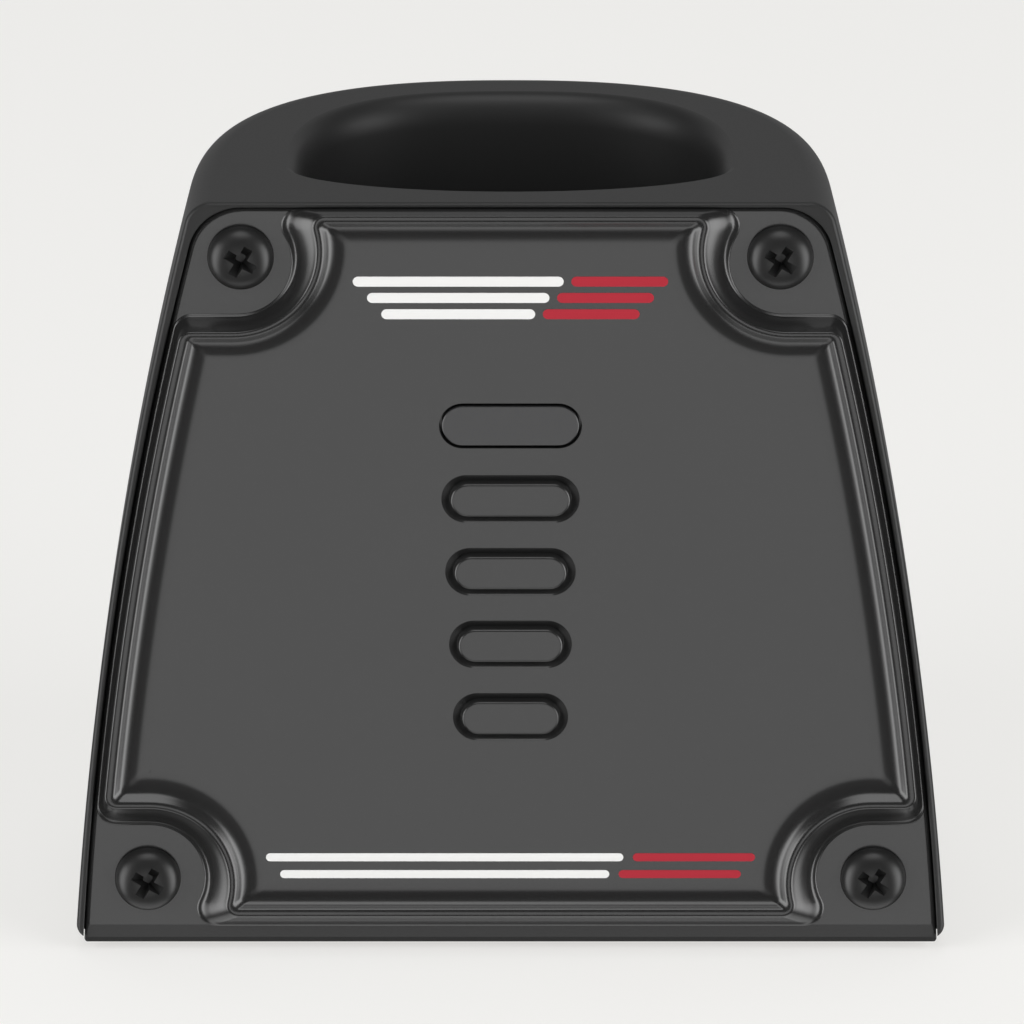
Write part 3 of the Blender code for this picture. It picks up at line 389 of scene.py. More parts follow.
STEEL = material("steel", (0.52, 0.52, 0.53), 0.34, 1.0, mottle=0.08, mottle_size=0.003)
GOLD = material("gold_plate", (0.83, 0.60, 0.27), 0.24, 1.0, mottle=0.06, depth=0.000002)
ALUMINIUM = material("aluminium_can", (0.68, 0.68, 0.70), 0.30, 1.0, mottle=0.05)
RUBBER = material("rubber", (0.024, 0.024, 0.024), 0.85, grain=0.00050, depth=0.00003)
LABEL = material("label_grey", (0.50, 0.50, 0.50), 0.48, mottle=0.04, depth=0.000004)
RED_LEAD = material("red_lead", (0.42, 0.02, 0.02), 0.42, mottle=0.08, mottle_size=0.004)
BLACK_LEAD = material("black_lead", (0.015, 0.015, 0.015), 0.42, mottle=0.08, mottle_size=0.004)

NODE_FINISH = {
    "steel": STEEL, "gold_plate": GOLD, "aluminium_can": ALUMINIUM, "clear_plastic": CLEAR,
    "board_green": BOARD, "black_plastic": PLASTIC, "rubber": RUBBER, "label_grey": LABEL,
    "red_lead": RED_LEAD, "black_lead": BLACK_LEAD, "housing_black": HOUSING,
    "powder_coat": COAT, "screw_black": SCREW, "window_black": WINDOW,
}


def finish_cad_nodes():
    """Every CAD node that still shows gets the material of its slot."""
    for part in frame["record"]["subparts"]:
        node = frame["nodes"][part["node"]]
        node.data.materials.clear()
        node.data.materials.append(NODE_FINISH[part["material_slot"]])


# ---------------------------------------------------------------- mesh helpers
def link(item):
    if not item.users_collection:
        bpy.context.scene.collection.objects.link(item)
    return item


def mesh_object(name, shape, at=UPRIGHT):
    """An object from a bmesh, with its mesh moved into the row frame."""
    data = bpy.data.meshes.new(name)
    shape.to_mesh(data)
    shape.free()
    data.transform(at)
    return bpy.data.objects.new(name, data)


def loft(name, loops, at=UPRIGHT):
    """A closed skin through loops of equal length, with flat ends."""
    shape = bmesh.new()
    rings = [[shape.verts.new(point) for point in loop] for loop in loops]
    for low, high in zip(rings, rings[1:]):
        for i in range(len(low)):
            j = (i + 1) % len(low)
            shape.faces.new((low[i], low[j], high[j], high[i]))
    shape.faces.new(rings[0][::-1])
    shape.faces.new(rings[-1])
    bmesh.ops.recalc_face_normals(shape, faces=shape.faces)
    return mesh_object(name, shape, at)


def turned(name, profile, at=UPRIGHT, steps=48):
    """A closed piece turned about Z from (radius, height) points that run between two poles."""
    shape = bmesh.new()
    poles = [shape.verts.new((0, 0, profile[i][1])) for i in (0, -1)]
    rings = []
    for radius, height in profile[1:-1]:
        turns = [2 * math.pi * i / steps for i in range(steps)]
        rings.append(
            [shape.verts.new((radius * math.cos(t), radius * math.sin(t), height)) for t in turns]
        )
    for i in range(steps):
        j = (i + 1) % steps
        shape.faces.new((poles[0], rings[0][i], rings[0][j]))
        shape.faces.new((poles[1], rings[-1][j], rings[-1][i]))
        for high, low in zip(rings, rings[1:]):
            shape.faces.new((high[i], low[i], low[j], high[j]))
    bmesh.ops.recalc_face_normals(shape, faces=shape.faces)
    return mesh_object(name, shape, at)


def cylinder(name, radius, depth, at=UPRIGHT, steps=48):
    """Stands on the origin of its place."""
    return turned(name, [(0, depth), (radius, depth), (radius, 0), (0, 0)], at, steps)


def box(name, size, at=UPRIGHT):
    shape = bmesh.new()
    bmesh.ops.create_cube(shape, size=1.0, matrix=Matrix.Diagonal((*size, 1.0)))
    return mesh_object(name, shape, at)


def carve(item, tools, operation="DIFFERENCE"):
    """Cuts or joins the tools into the item, applies the result and removes the tools."""
    link(item)
    for tool in tools:
        link(tool)
        step = item.modifiers.new("carve", "BOOLEAN")
        step.operation = operation
        step.solver = "EXACT"
        step.object = tool
    bpy.context.view_layer.update()
    graph = bpy.context.evaluated_depsgraph_get()
    made = bpy.data.meshes.new_from_object(item.evaluated_get(graph))
    item.modifiers.clear()
    item.data = made
    for tool in tools:
        bpy.data.objects.remove(tool, do_unlink=True)
    return item


# A larger face than this is a flat one, and keeps its own normal.
FLAT_AREA = 0.00003


def piece(item, finish, slot, body, *nodes, sharp=32, weighted=True):
    """Shades a finished piece smooth, gives it its material and hangs it on its body."""
    link(item)
    item.data.shade_smooth()
    item.data.set_sharp_from_angle(angle=math.radians(sharp))
    for face in item.data.polygons:
        if face.area > FLAT_AREA:
            for i in face.loop_indices:
                item.data.edges[item.data.loops[i].edge_index].use_edge_sharp = True
    item.data.materials.clear()
    item.data.materials.append(finish)
    if weighted:
        normals = item.modifiers.new("normals", "WEIGHTED_NORMAL")
        normals.keep_sharp = True
        normals.weight = 100
    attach(item, body)
    if nodes:
        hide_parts(*nodes)


def place(axes, x, y, z, flip=False):
    """A place on these axes and, if flipped, facing the other way."""
    at = axes @ Matrix.Translation((x, y, z))
    return at @ Matrix.Rotation(math.pi, 4, "X") if flip else at


def arc_steps(count, last=90):
    """(1 - sin, 1 - cos) of equal angles from 0 to the last one, in degrees."""
    for i in range(count + 1):
        angle = math.radians(last * i / count)
        yield 1 - math.sin(angle), 1 - math.cos(angle)


# ---------------------------------------------------------------- plane geometry
def circle_through(a, b, c):
    """Centre and radius of the circle through three points of a plane."""
    ax, ay, bx, by = b[0] - a[0], b[1] - a[1], c[0] - a[0], c[1] - a[1]
    twice = 2 * (ax * by - ay * bx)
    x = (by * (ax**2 + ay**2) - ay * (bx**2 + by**2)) / twice
    y = (ax * (bx**2 + by**2) - bx * (ax**2 + ay**2)) / twice
    return Vector((a[0] + x, a[1] + y)), math.hypot(x, y)


SIDE_CENTRE, SIDE_RADIUS = circle_through(
    *zip(HALF_WIDTHS, (0, FACE_HEIGHT / 2, FACE_HEIGHT))
)
PLATE_CENTRE, PLATE_RADIUS = circle_through(
    *[(half - lip, height) for half, lip, height
      in zip(HALF_WIDTHS, SIDE_LIPS, (0, FACE_HEIGHT / 2, FACE_HEIGHT))]
)
REAR_CENTRE, REAR_RADIUS = circle_through(
    *zip(BODY_DEPTHS, (0, BODY_HEIGHT / 2, BODY_HEIGHT))
)


def sweep(centre, start, end, steps):
    """Points from start to end along the shorter arc about the centre, both included."""
    a = math.atan2(start.y - centre.y, start.x - centre.x)
    b = math.atan2(end.y - centre.y, end.x - centre.x)
    turn = (b - a + math.pi) % (2 * math.pi) - math.pi
    radius = (start - centre).length
    angles = [a + turn * i / steps for i in range(steps + 1)]
    return [centre + Vector((math.cos(t), math.sin(t))) * radius for t in angles]


def line_to_circle(height, inward, centre, radius, fillet):
    """Fillet between a level edge and a circle: its centre and its two ends.

    inward is +1 where the piece lies above the edge. The circle is either the plate's side, which
    the piece lies within, or a notch about a screw, which it lies outside.
    """
    level = height + inward * fillet
    within = centre is PLATE_CENTRE
    reach = radius - fillet if within else radius + fillet
    across = math.sqrt(reach**2 - (level - centre.y) ** 2)
    middle = Vector((centre.x + (across if within else -across), level))
    on_circle = centre + (middle - centre) * radius / reach
    return middle, Vector((middle.x, height)), on_circle


def mirrored(half):
    """The whole loop from its right half, which runs from the bottom to the top."""
    return half + [Vector((-point.x, point.y)) for point in reversed(half)]


def plate_loop(inset, bottom_inset=None):
    """Outline of the front plate on the face, drawn in by the inset."""
    low = (inset if bottom_inset is None else bottom_inset) - PLATE_REACH
    high = FACE_HEIGHT - TOP_LIP - FIT_GAP - inset
    radius = PLATE_RADIUS - FIT_GAP - inset
    corner, start, end = line_to_circle(
        low, 1, PLATE_CENTRE, radius, PLATE_BOTTOM_CORNER - inset / 2
    )
    top_corner, top_end, top_start = line_to_circle(
        high, -1, PLATE_CENTRE, radius, PLATE_TOP_CORNER - inset / 2
    )
    half = sweep(corner, start, end, 12)
    half += sweep(PLATE_CENTRE, end, top_start, 40)[1:-1]
    half += sweep(top_corner, top_start, top_end, 16)
    return mirrored(half)


def notch(foot, crest, run):
    """Centre and radius of a notch, this far out from its foot."""
    share = min(run / NOTCH_CREST_RUN, 1)
    x, y, radius = (a + (b - a) * share for a, b in zip(foot, crest))
    return Vector((x, y)), radius + max(run - NOTCH_CREST_RUN, 0)


def rim_loop(side_run, top_run, bottom_run, notch_run):
    """Outline of the rim, this far in from its outer foot along each edge and in the notches."""
    fillet = max(RIM_CORNER - side_run, RIM_LEAST_CORNER)
    side = PLATE_RADIUS - RIM_SIDE_MARGIN - side_run
    low = RIM_BOTTOM_MARGIN + bottom_run
    high = FACE_HEIGHT - RIM_TOP_MARGIN - top_run
    bottom, bottom_radius = notch(BOTTOM_NOTCH_FOOT, BOTTOM_NOTCH_CREST, notch_run)
    top, top_radius = notch(TOP_NOTCH_FOOT, TOP_NOTCH_CREST, notch_run)
    bottom_end = Vector((bottom.x, bottom.y + bottom_radius))
    top_end = Vector((top.x, top.y - top_radius))

    first, first_start, first_end = line_to_circle(low, 1, bottom, bottom_radius, fillet)
    lower, lower_start, lower_end = line_to_circle(
        bottom_end.y, 1, PLATE_CENTRE, side, fillet
    )
    upper, upper_end, upper_start = line_to_circle(
        top_end.y, -1, PLATE_CENTRE, side, fillet
    )
    last, last_end, last_start = line_to_circle(high, -1, top, top_radius, fillet)

    half = sweep(first, first_start, first_end, 8)
    half += sweep(bottom, first_end, bottom_end, 24)[1:]
    half += sweep(lower, lower_start, lower_end, 8)
    half += sweep(PLATE_CENTRE, lower_end, upper_start, 30)[1:-1]
    half += sweep(upper, upper_start, upper_end, 8)
    half += sweep(top, top_end, last_start, 24)[:-1]
    half += sweep(last, last_start, last_end, 8)
    return mirrored(half)


def pill_loop(width, height, steps=20):
    """Outline of a pill about the origin."""
    radius = height / 2
    reach = width / 2 - radius
    loop = []
    for centre_x, start in ((reach, -math.pi / 2), (-reach, math.pi / 2)):
        for i in range(steps + 1):
            angle = start + math.pi * i / steps
            loop.append(
                Vector((centre_x + radius * math.cos(angle), radius * math.sin(angle)))
            )
    return loop


def raised(loop, height, shift=0.0):
    """A plane loop at a height, moved up the face by the shift."""
    return [Vector((point.x, point.y + shift, height)) for point in loop]


def body_loop(z, inset, front_inset, rear_steps=80, edge_radius=FRONT_EDGE_RADIUS):
    """Level section of the body at z, drawn in by the insets."""
    rise = z - FOOT_HEIGHT
    front = FACE_FRONT + rise * math.tan(FACE_LEAN) + front_inset
    half = SIDE_CENTRE.x + math.sqrt(SIDE_RADIUS**2 - (rise - SIDE_CENTRE.y) ** 2) - inset
    reach = REAR_CENTRE.x + math.sqrt(REAR_RADIUS**2 - (rise - REAR_CENTRE.y) ** 2)
    depth = FACE_FRONT + reach - inset - front
    right = []
    for sine, cosine in arc_steps(6):
        right.append(Vector((half - edge_radius * sine, front + edge_radius * cosine, z)))
    begin = edge_radius / depth
    across, along = REAR_POWERS
    for i in range(1, rear_steps):
        angle = math.pi / 2 * i / rear_steps
        back = begin + (1 - begin) * math.sin(angle) ** (2 / along)
        width = (1 - back**along) ** (1 / across) * (1 - SIDE_TAPER * (back - begin))
        right.append(Vector((half * width, front + depth * back, z)))
    left = [Vector((-point.x, point.y, point.z)) for point in reversed(right)]
    return [*right, Vector((0, front + depth, z)), *left]


def well_loop(z, grow, front_grow, steps=80):
    """Level section of the well at z: a shallow arc in front and a fuller one behind."""
    across, along = WELL_REAR_POWERS
    half = WELL_HALF_WIDTH + grow
    loop = []
    for i in range(steps):
        angle = math.pi * i / steps
        side = math.copysign(abs(math.cos(angle)) ** (2 / across), math.cos(angle))
        back = math.sin(angle) ** (2 / along)
        loop.append(Vector((half * side, WELL_Y + (WELL_REAR_REACH + grow) * back, z)))
    for i in range(steps):
        angle = math.pi * i / steps
        reach = WELL_FRONT_REACH + front_grow
        loop.append(
            Vector((-half * math.cos(angle), WELL_Y - reach * math.sin(angle), z))
        )
    return loop


def front_screw_places():
    for side, sign in SIDES.items():
        yield f"top_{side}", (sign * TOP_SCREW[0], TOP_SCREW[1])
        yield f"bottom_{side}", (sign * BOTTOM_SCREW[0], BOTTOM_SCREW[1])


# ---------------------------------------------------------------- housing
WELL_FLOOR_ROUND = 0.0012
BOSS_DEPTH = 0.0130
BASE_SCREWS = ((0.0395, -0.0130), (0.0275, 0.0190))
FEET = ((0.0345, -0.0220), (0.0165, 0.0225))
COVER_BOTTOM = 0.0018
COVER_TOP = 0.0045
POCKET_DEPTH = 0.0021
FOOT_RADIUS = 0.0050
FOOT_EDGE = 0.0006
FOOT_SEAT = 0.0008
BALLAST_SCREW = (0.0200, 0.0010)
# How far a cutter starts outside what it cuts.
CUT_PAST = 0.0010
RETAINER_SCREW_X = 0.0160
RETAINER_PILOT_RADIUS = 0.0014
BOARD_SCREW = (0.0220, 0.0270)
BLOCK_HEIGHT = 0.0110
BLOCK_BOTTOM = WELL_FLOOR_TOP - WELL_FLOOR - FIT_GAP - BLOCK_HEIGHT
REAR_AT_JACK = FACE_FRONT + REAR_CENTRE.x + math.sqrt(
    REAR_RADIUS**2 - (JACK_HEIGHT - FOOT_HEIGHT - REAR_CENTRE.y) ** 2
)
JACK_DEPTH = 0.0120
JACK_SETBACK = 0.0024
JACK_BACK = REAR_AT_JACK - WALL - JACK_SETBACK - JACK_DEPTH
# On the inlet's axis at the back of its body: Z to the rear.
JACK = Matrix.Translation((0, JACK_BACK, JACK_HEIGHT)) @ Matrix.Rotation(-math.pi / 2, 4, "X")


def base_places(spots):
    for name, (x, y) in zip(("front", "rear"), spots):
        for side, sign in SIDES.items():
            yield f"{name}_{side}", (sign * x, y)


def well_cutter(name, wall=0.0):
    """The well as a solid with a rounded floor edge and a flared mouth, or its wall when grown."""
    if wall:
        low = WELL_FLOOR_TOP - WELL_FLOOR
        return loft(name, [well_loop(low, wall - WELL_DRAFT, wall - WELL_DRAFT),
                           well_loop(BODY_TOP, wall, wall)])
    loops = []
    for sine, cosine in arc_steps(6):
        tight = -WELL_DRAFT - WELL_FLOOR_ROUND * sine
        loops.append(well_loop(WELL_FLOOR_TOP + WELL_FLOOR_ROUND * cosine, tight, tight))
    mouth = BODY_TOP - WELL_LEAD_DEPTH
    loops.append(well_loop(mouth, 0, 0))
    for sine, cosine in arc_steps(14, 84):
        z = BODY_TOP - WELL_LEAD_DEPTH * sine
        rise = max(z - (BODY_TOP - WELL_FRONT_LEAD_IN), 0)
        front = WELL_FRONT_LEAD_IN - math.sqrt(WELL_FRONT_LEAD_IN**2 - rise**2)
        if cosine:
            loops.append(well_loop(z, WELL_LEAD_IN * cosine, front))
    loops.append(well_loop(BODY_TOP + 0.00001, WELL_LEAD_IN, WELL_FRONT_LEAD_IN))
    loops.append(well_loop(BODY_TOP + 0.001, WELL_LEAD_IN, WELL_FRONT_LEAD_IN))
    return loft(name, loops)


def hollow():
    """The space inside the housing, less the well and the bosses that stand in it."""
    levels = [body_loop(FOOT_HEIGHT, WALL, RECESS_DEPTH + RECESS_FLOOR)]
    levels[0] = [Vector((point.x, point.y, point.z - 0.002)) for point in levels[0]]
    for i in range(16):
        z = FOOT_HEIGHT + (BODY_HEIGHT - WALL) * i / 15
        levels.append(body_loop(z, WALL, RECESS_DEPTH + RECESS_FLOOR))
    solids = [well_cutter("well_wall", WELL_WALL)]
    for name, (x, y) in front_screw_places():
        solids.append(cylinder("boss", 0.0031, 0.0100, place(FACE, x, y, -BOSS_DEPTH)))
    for name, (x, y) in base_places(BASE_SCREWS):
        solids.append(cylinder("boss", 0.0036, 0.0130, place(UPRIGHT, x, y, COVER_TOP + FIT_GAP)))
    for sign in SIDES.values():
        at = place(UPRIGHT, sign * RETAINER_SCREW_X, CONTACT_Y, BLOCK_BOTTOM + FIT_GAP)
        solids.append(cylinder("post", 0.0030, 0.0125, at))
        at = place(FACE, sign * BOARD_SCREW[0], BOARD_SCREW[1], -0.0087)
        solids.append(cylinder("post", 0.0030, 0.0060, at))
    return carve(loft("hollow", levels), solids)


def recess_cutter():
    """Seat of the front plate, open at the bottom and flared a little where it meets the lip."""
    low = -RECESS_OPEN
    loops = [raised(plate_loop(-SEAM, low), -RECESS_DEPTH)]
    for sine, cosine in arc_steps(4):
        grow = SEAM + LIP_ROUND * cosine
        loops.append(raised(plate_loop(-grow, low), -LIP_ROUND * sine))
    loops.append(raised(plate_loop(-SEAM - LIP_ROUND, low), 0.004))
    return loft("recess", loops, FACE)


def housing():
    """The moulded body, with the well in its top and the seat of the plate in its face."""
    top, bottom, front = TOP_EDGE_RADIUS, BOTTOM_EDGE_RADIUS, TOP_FRONT_RADIUS
    levels = []
    for sine, cosine in arc_steps(8):
        levels.append(body_loop(FOOT_HEIGHT + bottom * cosine, bottom * sine, 0))
    span = BODY_HEIGHT - bottom - top
    for i in range(1, 40):
        levels.append(body_loop(FOOT_HEIGHT + bottom + span * i / 40, 0, 0))
    for sine, cosine in arc_steps(20):
        z = BODY_TOP - top * sine
        rise = min(max(z - (BODY_TOP - front), 0), front)
        levels.append(body_loop(z, top * cosine, front - math.sqrt(front**2 - rise**2)))
    tools = [hollow(), well_cutter("well"), recess_cutter()]
    tools.append(box("groove", (0.0140, 0.0300, 0.0039), place(FACE, 0, 0.0475, -RECESS_DEPTH)))
    for name, (x, y) in front_screw_places():
        at = place(FACE, x, y, -RECESS_DEPTH - 0.0095)
        tools.append(cylinder("pilot", PILOT_RADIUS, 0.0110, at))
    for name, (x, y) in base_places(BASE_SCREWS):
        at = place(UPRIGHT, x, y, COVER_TOP - CUT_PAST)
        tools.append(cylinder("pilot", PILOT_RADIUS, 0.0110, at))
    for sign in SIDES.values():
        at = place(UPRIGHT, sign * RETAINER_SCREW_X, CONTACT_Y, BLOCK_BOTTOM)
        tools.append(cylinder("pilot", RETAINER_PILOT_RADIUS, 0.0075, at))
        at = place(FACE, sign * BOARD_SCREW[0], BOARD_SCREW[1], -0.0100)
        tools.append(cylinder("pilot", RETAINER_PILOT_RADIUS, 0.0050, at))
        hole = [(0, 0.0060), (0.0021, 0.0060), (0.0021, 0.0048), (0.0015, 0.0042)]
        hole += [(0.0015, 0), (0, 0)]
        at = place(UPRIGHT, sign * CONTACT_X, CONTACT_Y, WELL_FLOOR_TOP - 0.0045)
        tools.append(turned("contact_hole", hole, at))
    reach = REAR_AT_JACK - JACK_BACK
    mouth = JACK_NOSE_RADIUS + FIT_GAP
    inlet = [(0, reach + 0.003), (mouth + 0.0036, reach + 0.003), (mouth, reach - 0.0007),
             (mouth, JACK_DEPTH - 0.0010), (0, JACK_DEPTH - 0.0010)]
    tools.append(turned("inlet_hole", inlet, JACK, 64))
    shell = carve(loft("housing", levels), tools)
    piece(shell, HOUSING, "housing_black", "base", "housing_shell")


# ---------------------------------------------------------------- front plate, window and marks
# Section of the rim from its outer foot to the panel: height above the screw trays, then the run
# at the sides, at the top, at the bottom and in the notches. It starts inside the plate.
RIM_SECTION = (
    (-0.0008, -0.0003, 0.0, -0.0004, -0.0006),
    (-0.00003, -0.0003, 0.0, -0.0004, -0.0006),
    (0.00025, 0.0, 0.00002, -0.0001, 0.0),
    (0.0009, 0.00018, 0.00005, 0.0004, 0.0006),
    (0.0015, 0.0003, 0.0001, 0.0009, 0.0012),
    (0.0020, 0.0004, 0.0002, 0.0013, 0.0018),
    (RIM_HEIGHT, 0.0006, 0.0003, 0.0016, NOTCH_CREST_RUN),
    (0.00228, 0.0013, 0.0009, 0.0022, 0.0027),
    (0.00198, 0.0017, 0.0013, 0.0025, 0.0031),
    (0.00162, 0.0021, 0.0017, 0.0028, 0.0035),
    (0.00139, 0.0026, 0.0022, 0.0032, 0.0040),
    (0.00124, 0.0032, 0.0028, 0.0036, 0.0046),
    (0.00114, 0.0038, 0.0035, 0.0041, 0.0052),
    (PANEL_HEIGHT, 0.0046, 0.0044, 0.0048, 0.0061),
)
RIM_STEPS = 5
# Growth of the outline, then height above the panel, from the bottom of each up.
MOAT_SECTION = (
    (-0.0013, -PILL_MOAT), (-0.0002, -0.0002), (0.0, -0.0001), (0.0003, -0.00002), (0.0006, 0.0003),
)
PILL_SECTION = (
    (0.0, -PILL_MOAT - 0.0002), (0.0, -PILL_MOAT), (-0.0002, PILL_RAISE - 0.0003),
    (-0.0003, PILL_RAISE - 0.00012), (-0.00045, PILL_RAISE - 0.00003), (-0.0007, PILL_RAISE),
)
PILL_INSET_X = 0.0014
PILL_INSET_Y = 0.0011
FLANGE = (0.0168, 0.0067)
FLANGE_THICKNESS = 0.0008
PLATE_BACK_EDGE = 0.0002


def smooth_rows(rows, steps):
    """Rows of numbers along a smooth curve through the given ones."""
    stops = [Vector(row) for row in rows]
    ends = [stops[0], *stops, stops[-1]]
    for a, b, c, d in zip(ends, ends[1:], ends[2:], ends[3:]):
        for step in range(steps):
            t = step / steps
            yield (b * 2 + (c - a) * t + (a * 2 - b * 5 + c * 4 - d) * t**2
                   + (b * 3 - a - c * 3 + d) * t**3) / 2
    yield stops[-1]


def pill(index):
    """The moat of a pill, and the pill that stands in it and above the panel."""
    width = PILL_TOP_WIDTH - PILL_STEP * index
    centre = PILL_TOP_CENTRE - PILL_PITCH * index
    moat, island = [], []
    for grow, level in MOAT_SECTION:
        loop = pill_loop(width + grow, PILL_HEIGHT + grow)
        moat.append(raised(loop, PANEL_LEVEL + level, centre))
    for grow, level in PILL_SECTION:
        loop = pill_loop(width - PILL_INSET_X + grow, PILL_HEIGHT - PILL_INSET_Y + grow)
        island.append(raised(loop, PANEL_LEVEL + level, centre))
    return loft(f"moat_{index}", moat, FACE), loft(f"pill_{index}", island, FACE)


def front_plate():
    """Screwed-on plate with its raised rim and pills, and a low bevel along its lower edge."""
    loops = [raised(plate_loop(PLATE_BACK_EDGE), PLATE_BACK)]
    loops.append(raised(plate_loop(0), PLATE_BACK + PLATE_BACK_EDGE))
    for sine, cosine in arc_steps(8):
        height = TRAY_LEVEL - PLATE_EDGE_RADIUS * sine
        inset = PLATE_EDGE_RADIUS * cosine
        low = PLATE_BOTTOM_RUN * max(0.0, 1 - (TRAY_LEVEL - height) / PLATE_BOTTOM_EDGE)
        loops.append(raised(plate_loop(inset, low), height))
    rim = []
    for height, *runs in smooth_rows(RIM_SECTION, RIM_STEPS):
        rim.append(raised(rim_loop(*runs), TRAY_LEVEL + height))
    plate = loft("front_plate_moulding", loops, FACE)
    moats, pills = zip(*[pill(i) for i in range(1, 5)])
    carve(plate, [loft("rim", rim, FACE)], "UNION")
    carve(plate, moats)
    carve(plate, pills, "UNION")

    window = [raised(pill_loop(PILL_TOP_WIDTH, PILL_HEIGHT), level, PILL_TOP_CENTRE)
              for level in (PLATE_BACK - 0.001, PANEL_LEVEL + 0.001)]
    seat = pill_loop(FLANGE[0] + 2 * FIT_GAP, FLANGE[1] + 2 * FIT_GAP)
    flange = [raised(seat, level, PILL_TOP_CENTRE)
              for level in (PLATE_BACK - 0.001, PLATE_BACK + FLANGE_THICKNESS + FIT_GAP)]
    tools = [loft("window_hole", window, FACE), loft("flange_seat", flange, FACE)]
    for name, (x, y) in front_screw_places():
        tools.append(cylinder("hole", PILOT_RADIUS, 0.0040, place(FACE, x, y, -0.0030)))
    carve(plate, tools)
    piece(plate, COAT, "powder_coat", "base", "front_plate", sharp=40)


def indicator_window():
    """Lens flush with the panel, with a softened edge, held by a flange behind it."""
    width, height = PILL_TOP_WIDTH - 2 * WINDOW_GAP, PILL_HEIGHT - 2 * WINDOW_GAP
    step = PLATE_BACK + FLANGE_THICKNESS
    rows = [(*FLANGE, PLATE_BACK), (*FLANGE, step)]
    rows += [(width, height, step), (width, height, PANEL_LEVEL - 0.00012)]
    rows += [(width - 0.00008, height - 0.00008, PANEL_LEVEL - 0.00004)]
    rows += [(width - 0.00024, height - 0.00024, PANEL_LEVEL)]
    loops = [raised(pill_loop(w, h), level, PILL_TOP_CENTRE) for w, h, level in rows]
    lens = loft("window_lens", loops, FACE)
    piece(lens, WINDOW, "window_black", "base", "indicator_window")


INK_THICKNESS = 0.00003


def ink_bar(name, finish, x, y, width, height):
    """A printed bar with round ends, standing just proud of the panel."""
    loops = [raised(pill_loop(width, height, 10), PANEL_LEVEL + level)
             for level in (0.000008, INK_THICKNESS)]
    bar = loft(name, loops, place(FACE, x, y, 0))
    piece(bar, finish, None, "base", weighted=False)


def marks():
    """Plain two-tone bars where the maker's printing would be."""
    for row, y in enumerate((0.0738, 0.0720, 0.0702)):
        ink_bar(f"mark_top_white_{row}", INK_WHITE, -0.0055, y, 0.0222 - 0.0030 * row, 0.0011)
        ink_bar(f"mark_top_red_{row}", INK_RED, 0.0115 - 0.0015 * row, y, 0.0102, 0.0011)
    for row, y in enumerate((0.0095, 0.0076)):
        ink_bar(f"mark_bottom_white_{row}", INK_WHITE, -0.0070, y, 0.0380 - 0.0030 * row, 0.0009)
        ink_bar(f"mark_bottom_red_{row}", INK_RED, 0.0195 - 0.0015 * row, y, 0.0130, 0.0009)


# ---------------------------------------------------------------- screws
# Of the head: how far an arm reaches and half its width, by radius, and its depth, by height.
CROSS_REACH = 0.49
CROSS_WIDTH = 0.14
CROSS_DEPTH = 0.95


def cross_loop(reach, width, height):
    """Outline of a cross about the origin."""
    loop = []
    for arm in range(4):
        turn = Matrix.Rotation(arm * math.pi / 2, 3, "Z")
        for x, y in ((width, -width), (reach, -width), (reach, width)):
            loop.append(turn @ Vector((x, y, height)))
    return loop


def pan_head(name, head, height, length, at, turn):
    """Pan-head screw with a domed head that sits on its place, and a tapered cross recess."""
    profile = []
    for i in range(15):
        angle = math.pi / 2 * i / 14
        profile.append((head * math.sin(angle) ** 0.72, height * math.cos(angle) ** 0.9))
    profile[-1] = (head, 0.10 * height)
    profile += [(0.975 * head, 0.0), (SHANK_RADIUS, 0.0), (SHANK_RADIUS, SHANK_RADIUS - length)]
    profile += [(0.4 * SHANK_RADIUS, -length), (0, -length)]
    item = turned(name, profile, at, 64)
    reach, width = CROSS_REACH * head, CROSS_WIDTH * head
    loops = [cross_loop(0.26 * reach, 0.75 * width, (1 - CROSS_DEPTH) * height)]
    loops.append(cross_loop(reach, width, 0.90 * height))
    loops.append(cross_loop(1.04 * reach, 1.1 * width, 1.1 * height))
    carve(item, [loft("cross", loops, at @ Matrix.Rotation(math.radians(turn), 4, "Z"))])
    return item


def screws():
    for name, (x, y) in front_screw_places():
        at = place(FACE, x, y, TRAY_LEVEL + SEAT_GAP)
        item = pan_head(f"pan_screw_{name}", FRONT_HEAD_RADIUS, FRONT_HEAD_HEIGHT,
                        FRONT_SCREW_LENGTH, at, CROSS_TURNS[name])
        piece(item, SCREW, "screw_black", "base", f"front_screw_{name}", sharp=30)
    for name, (x, y) in base_places(BASE_SCREWS):
        at = place(UPRIGHT, x, y, COVER_BOTTOM + POCKET_DEPTH - SEAT_GAP, flip=True)
        item = pan_head(f"cover_screw_{name}", BASE_HEAD_RADIUS, BASE_HEAD_HEIGHT,
                        BASE_SCREW_LENGTH, at, BASE_CROSS_TURN)
        piece(item, STEEL, "steel", "base", f"base_screw_{name}", sharp=30)


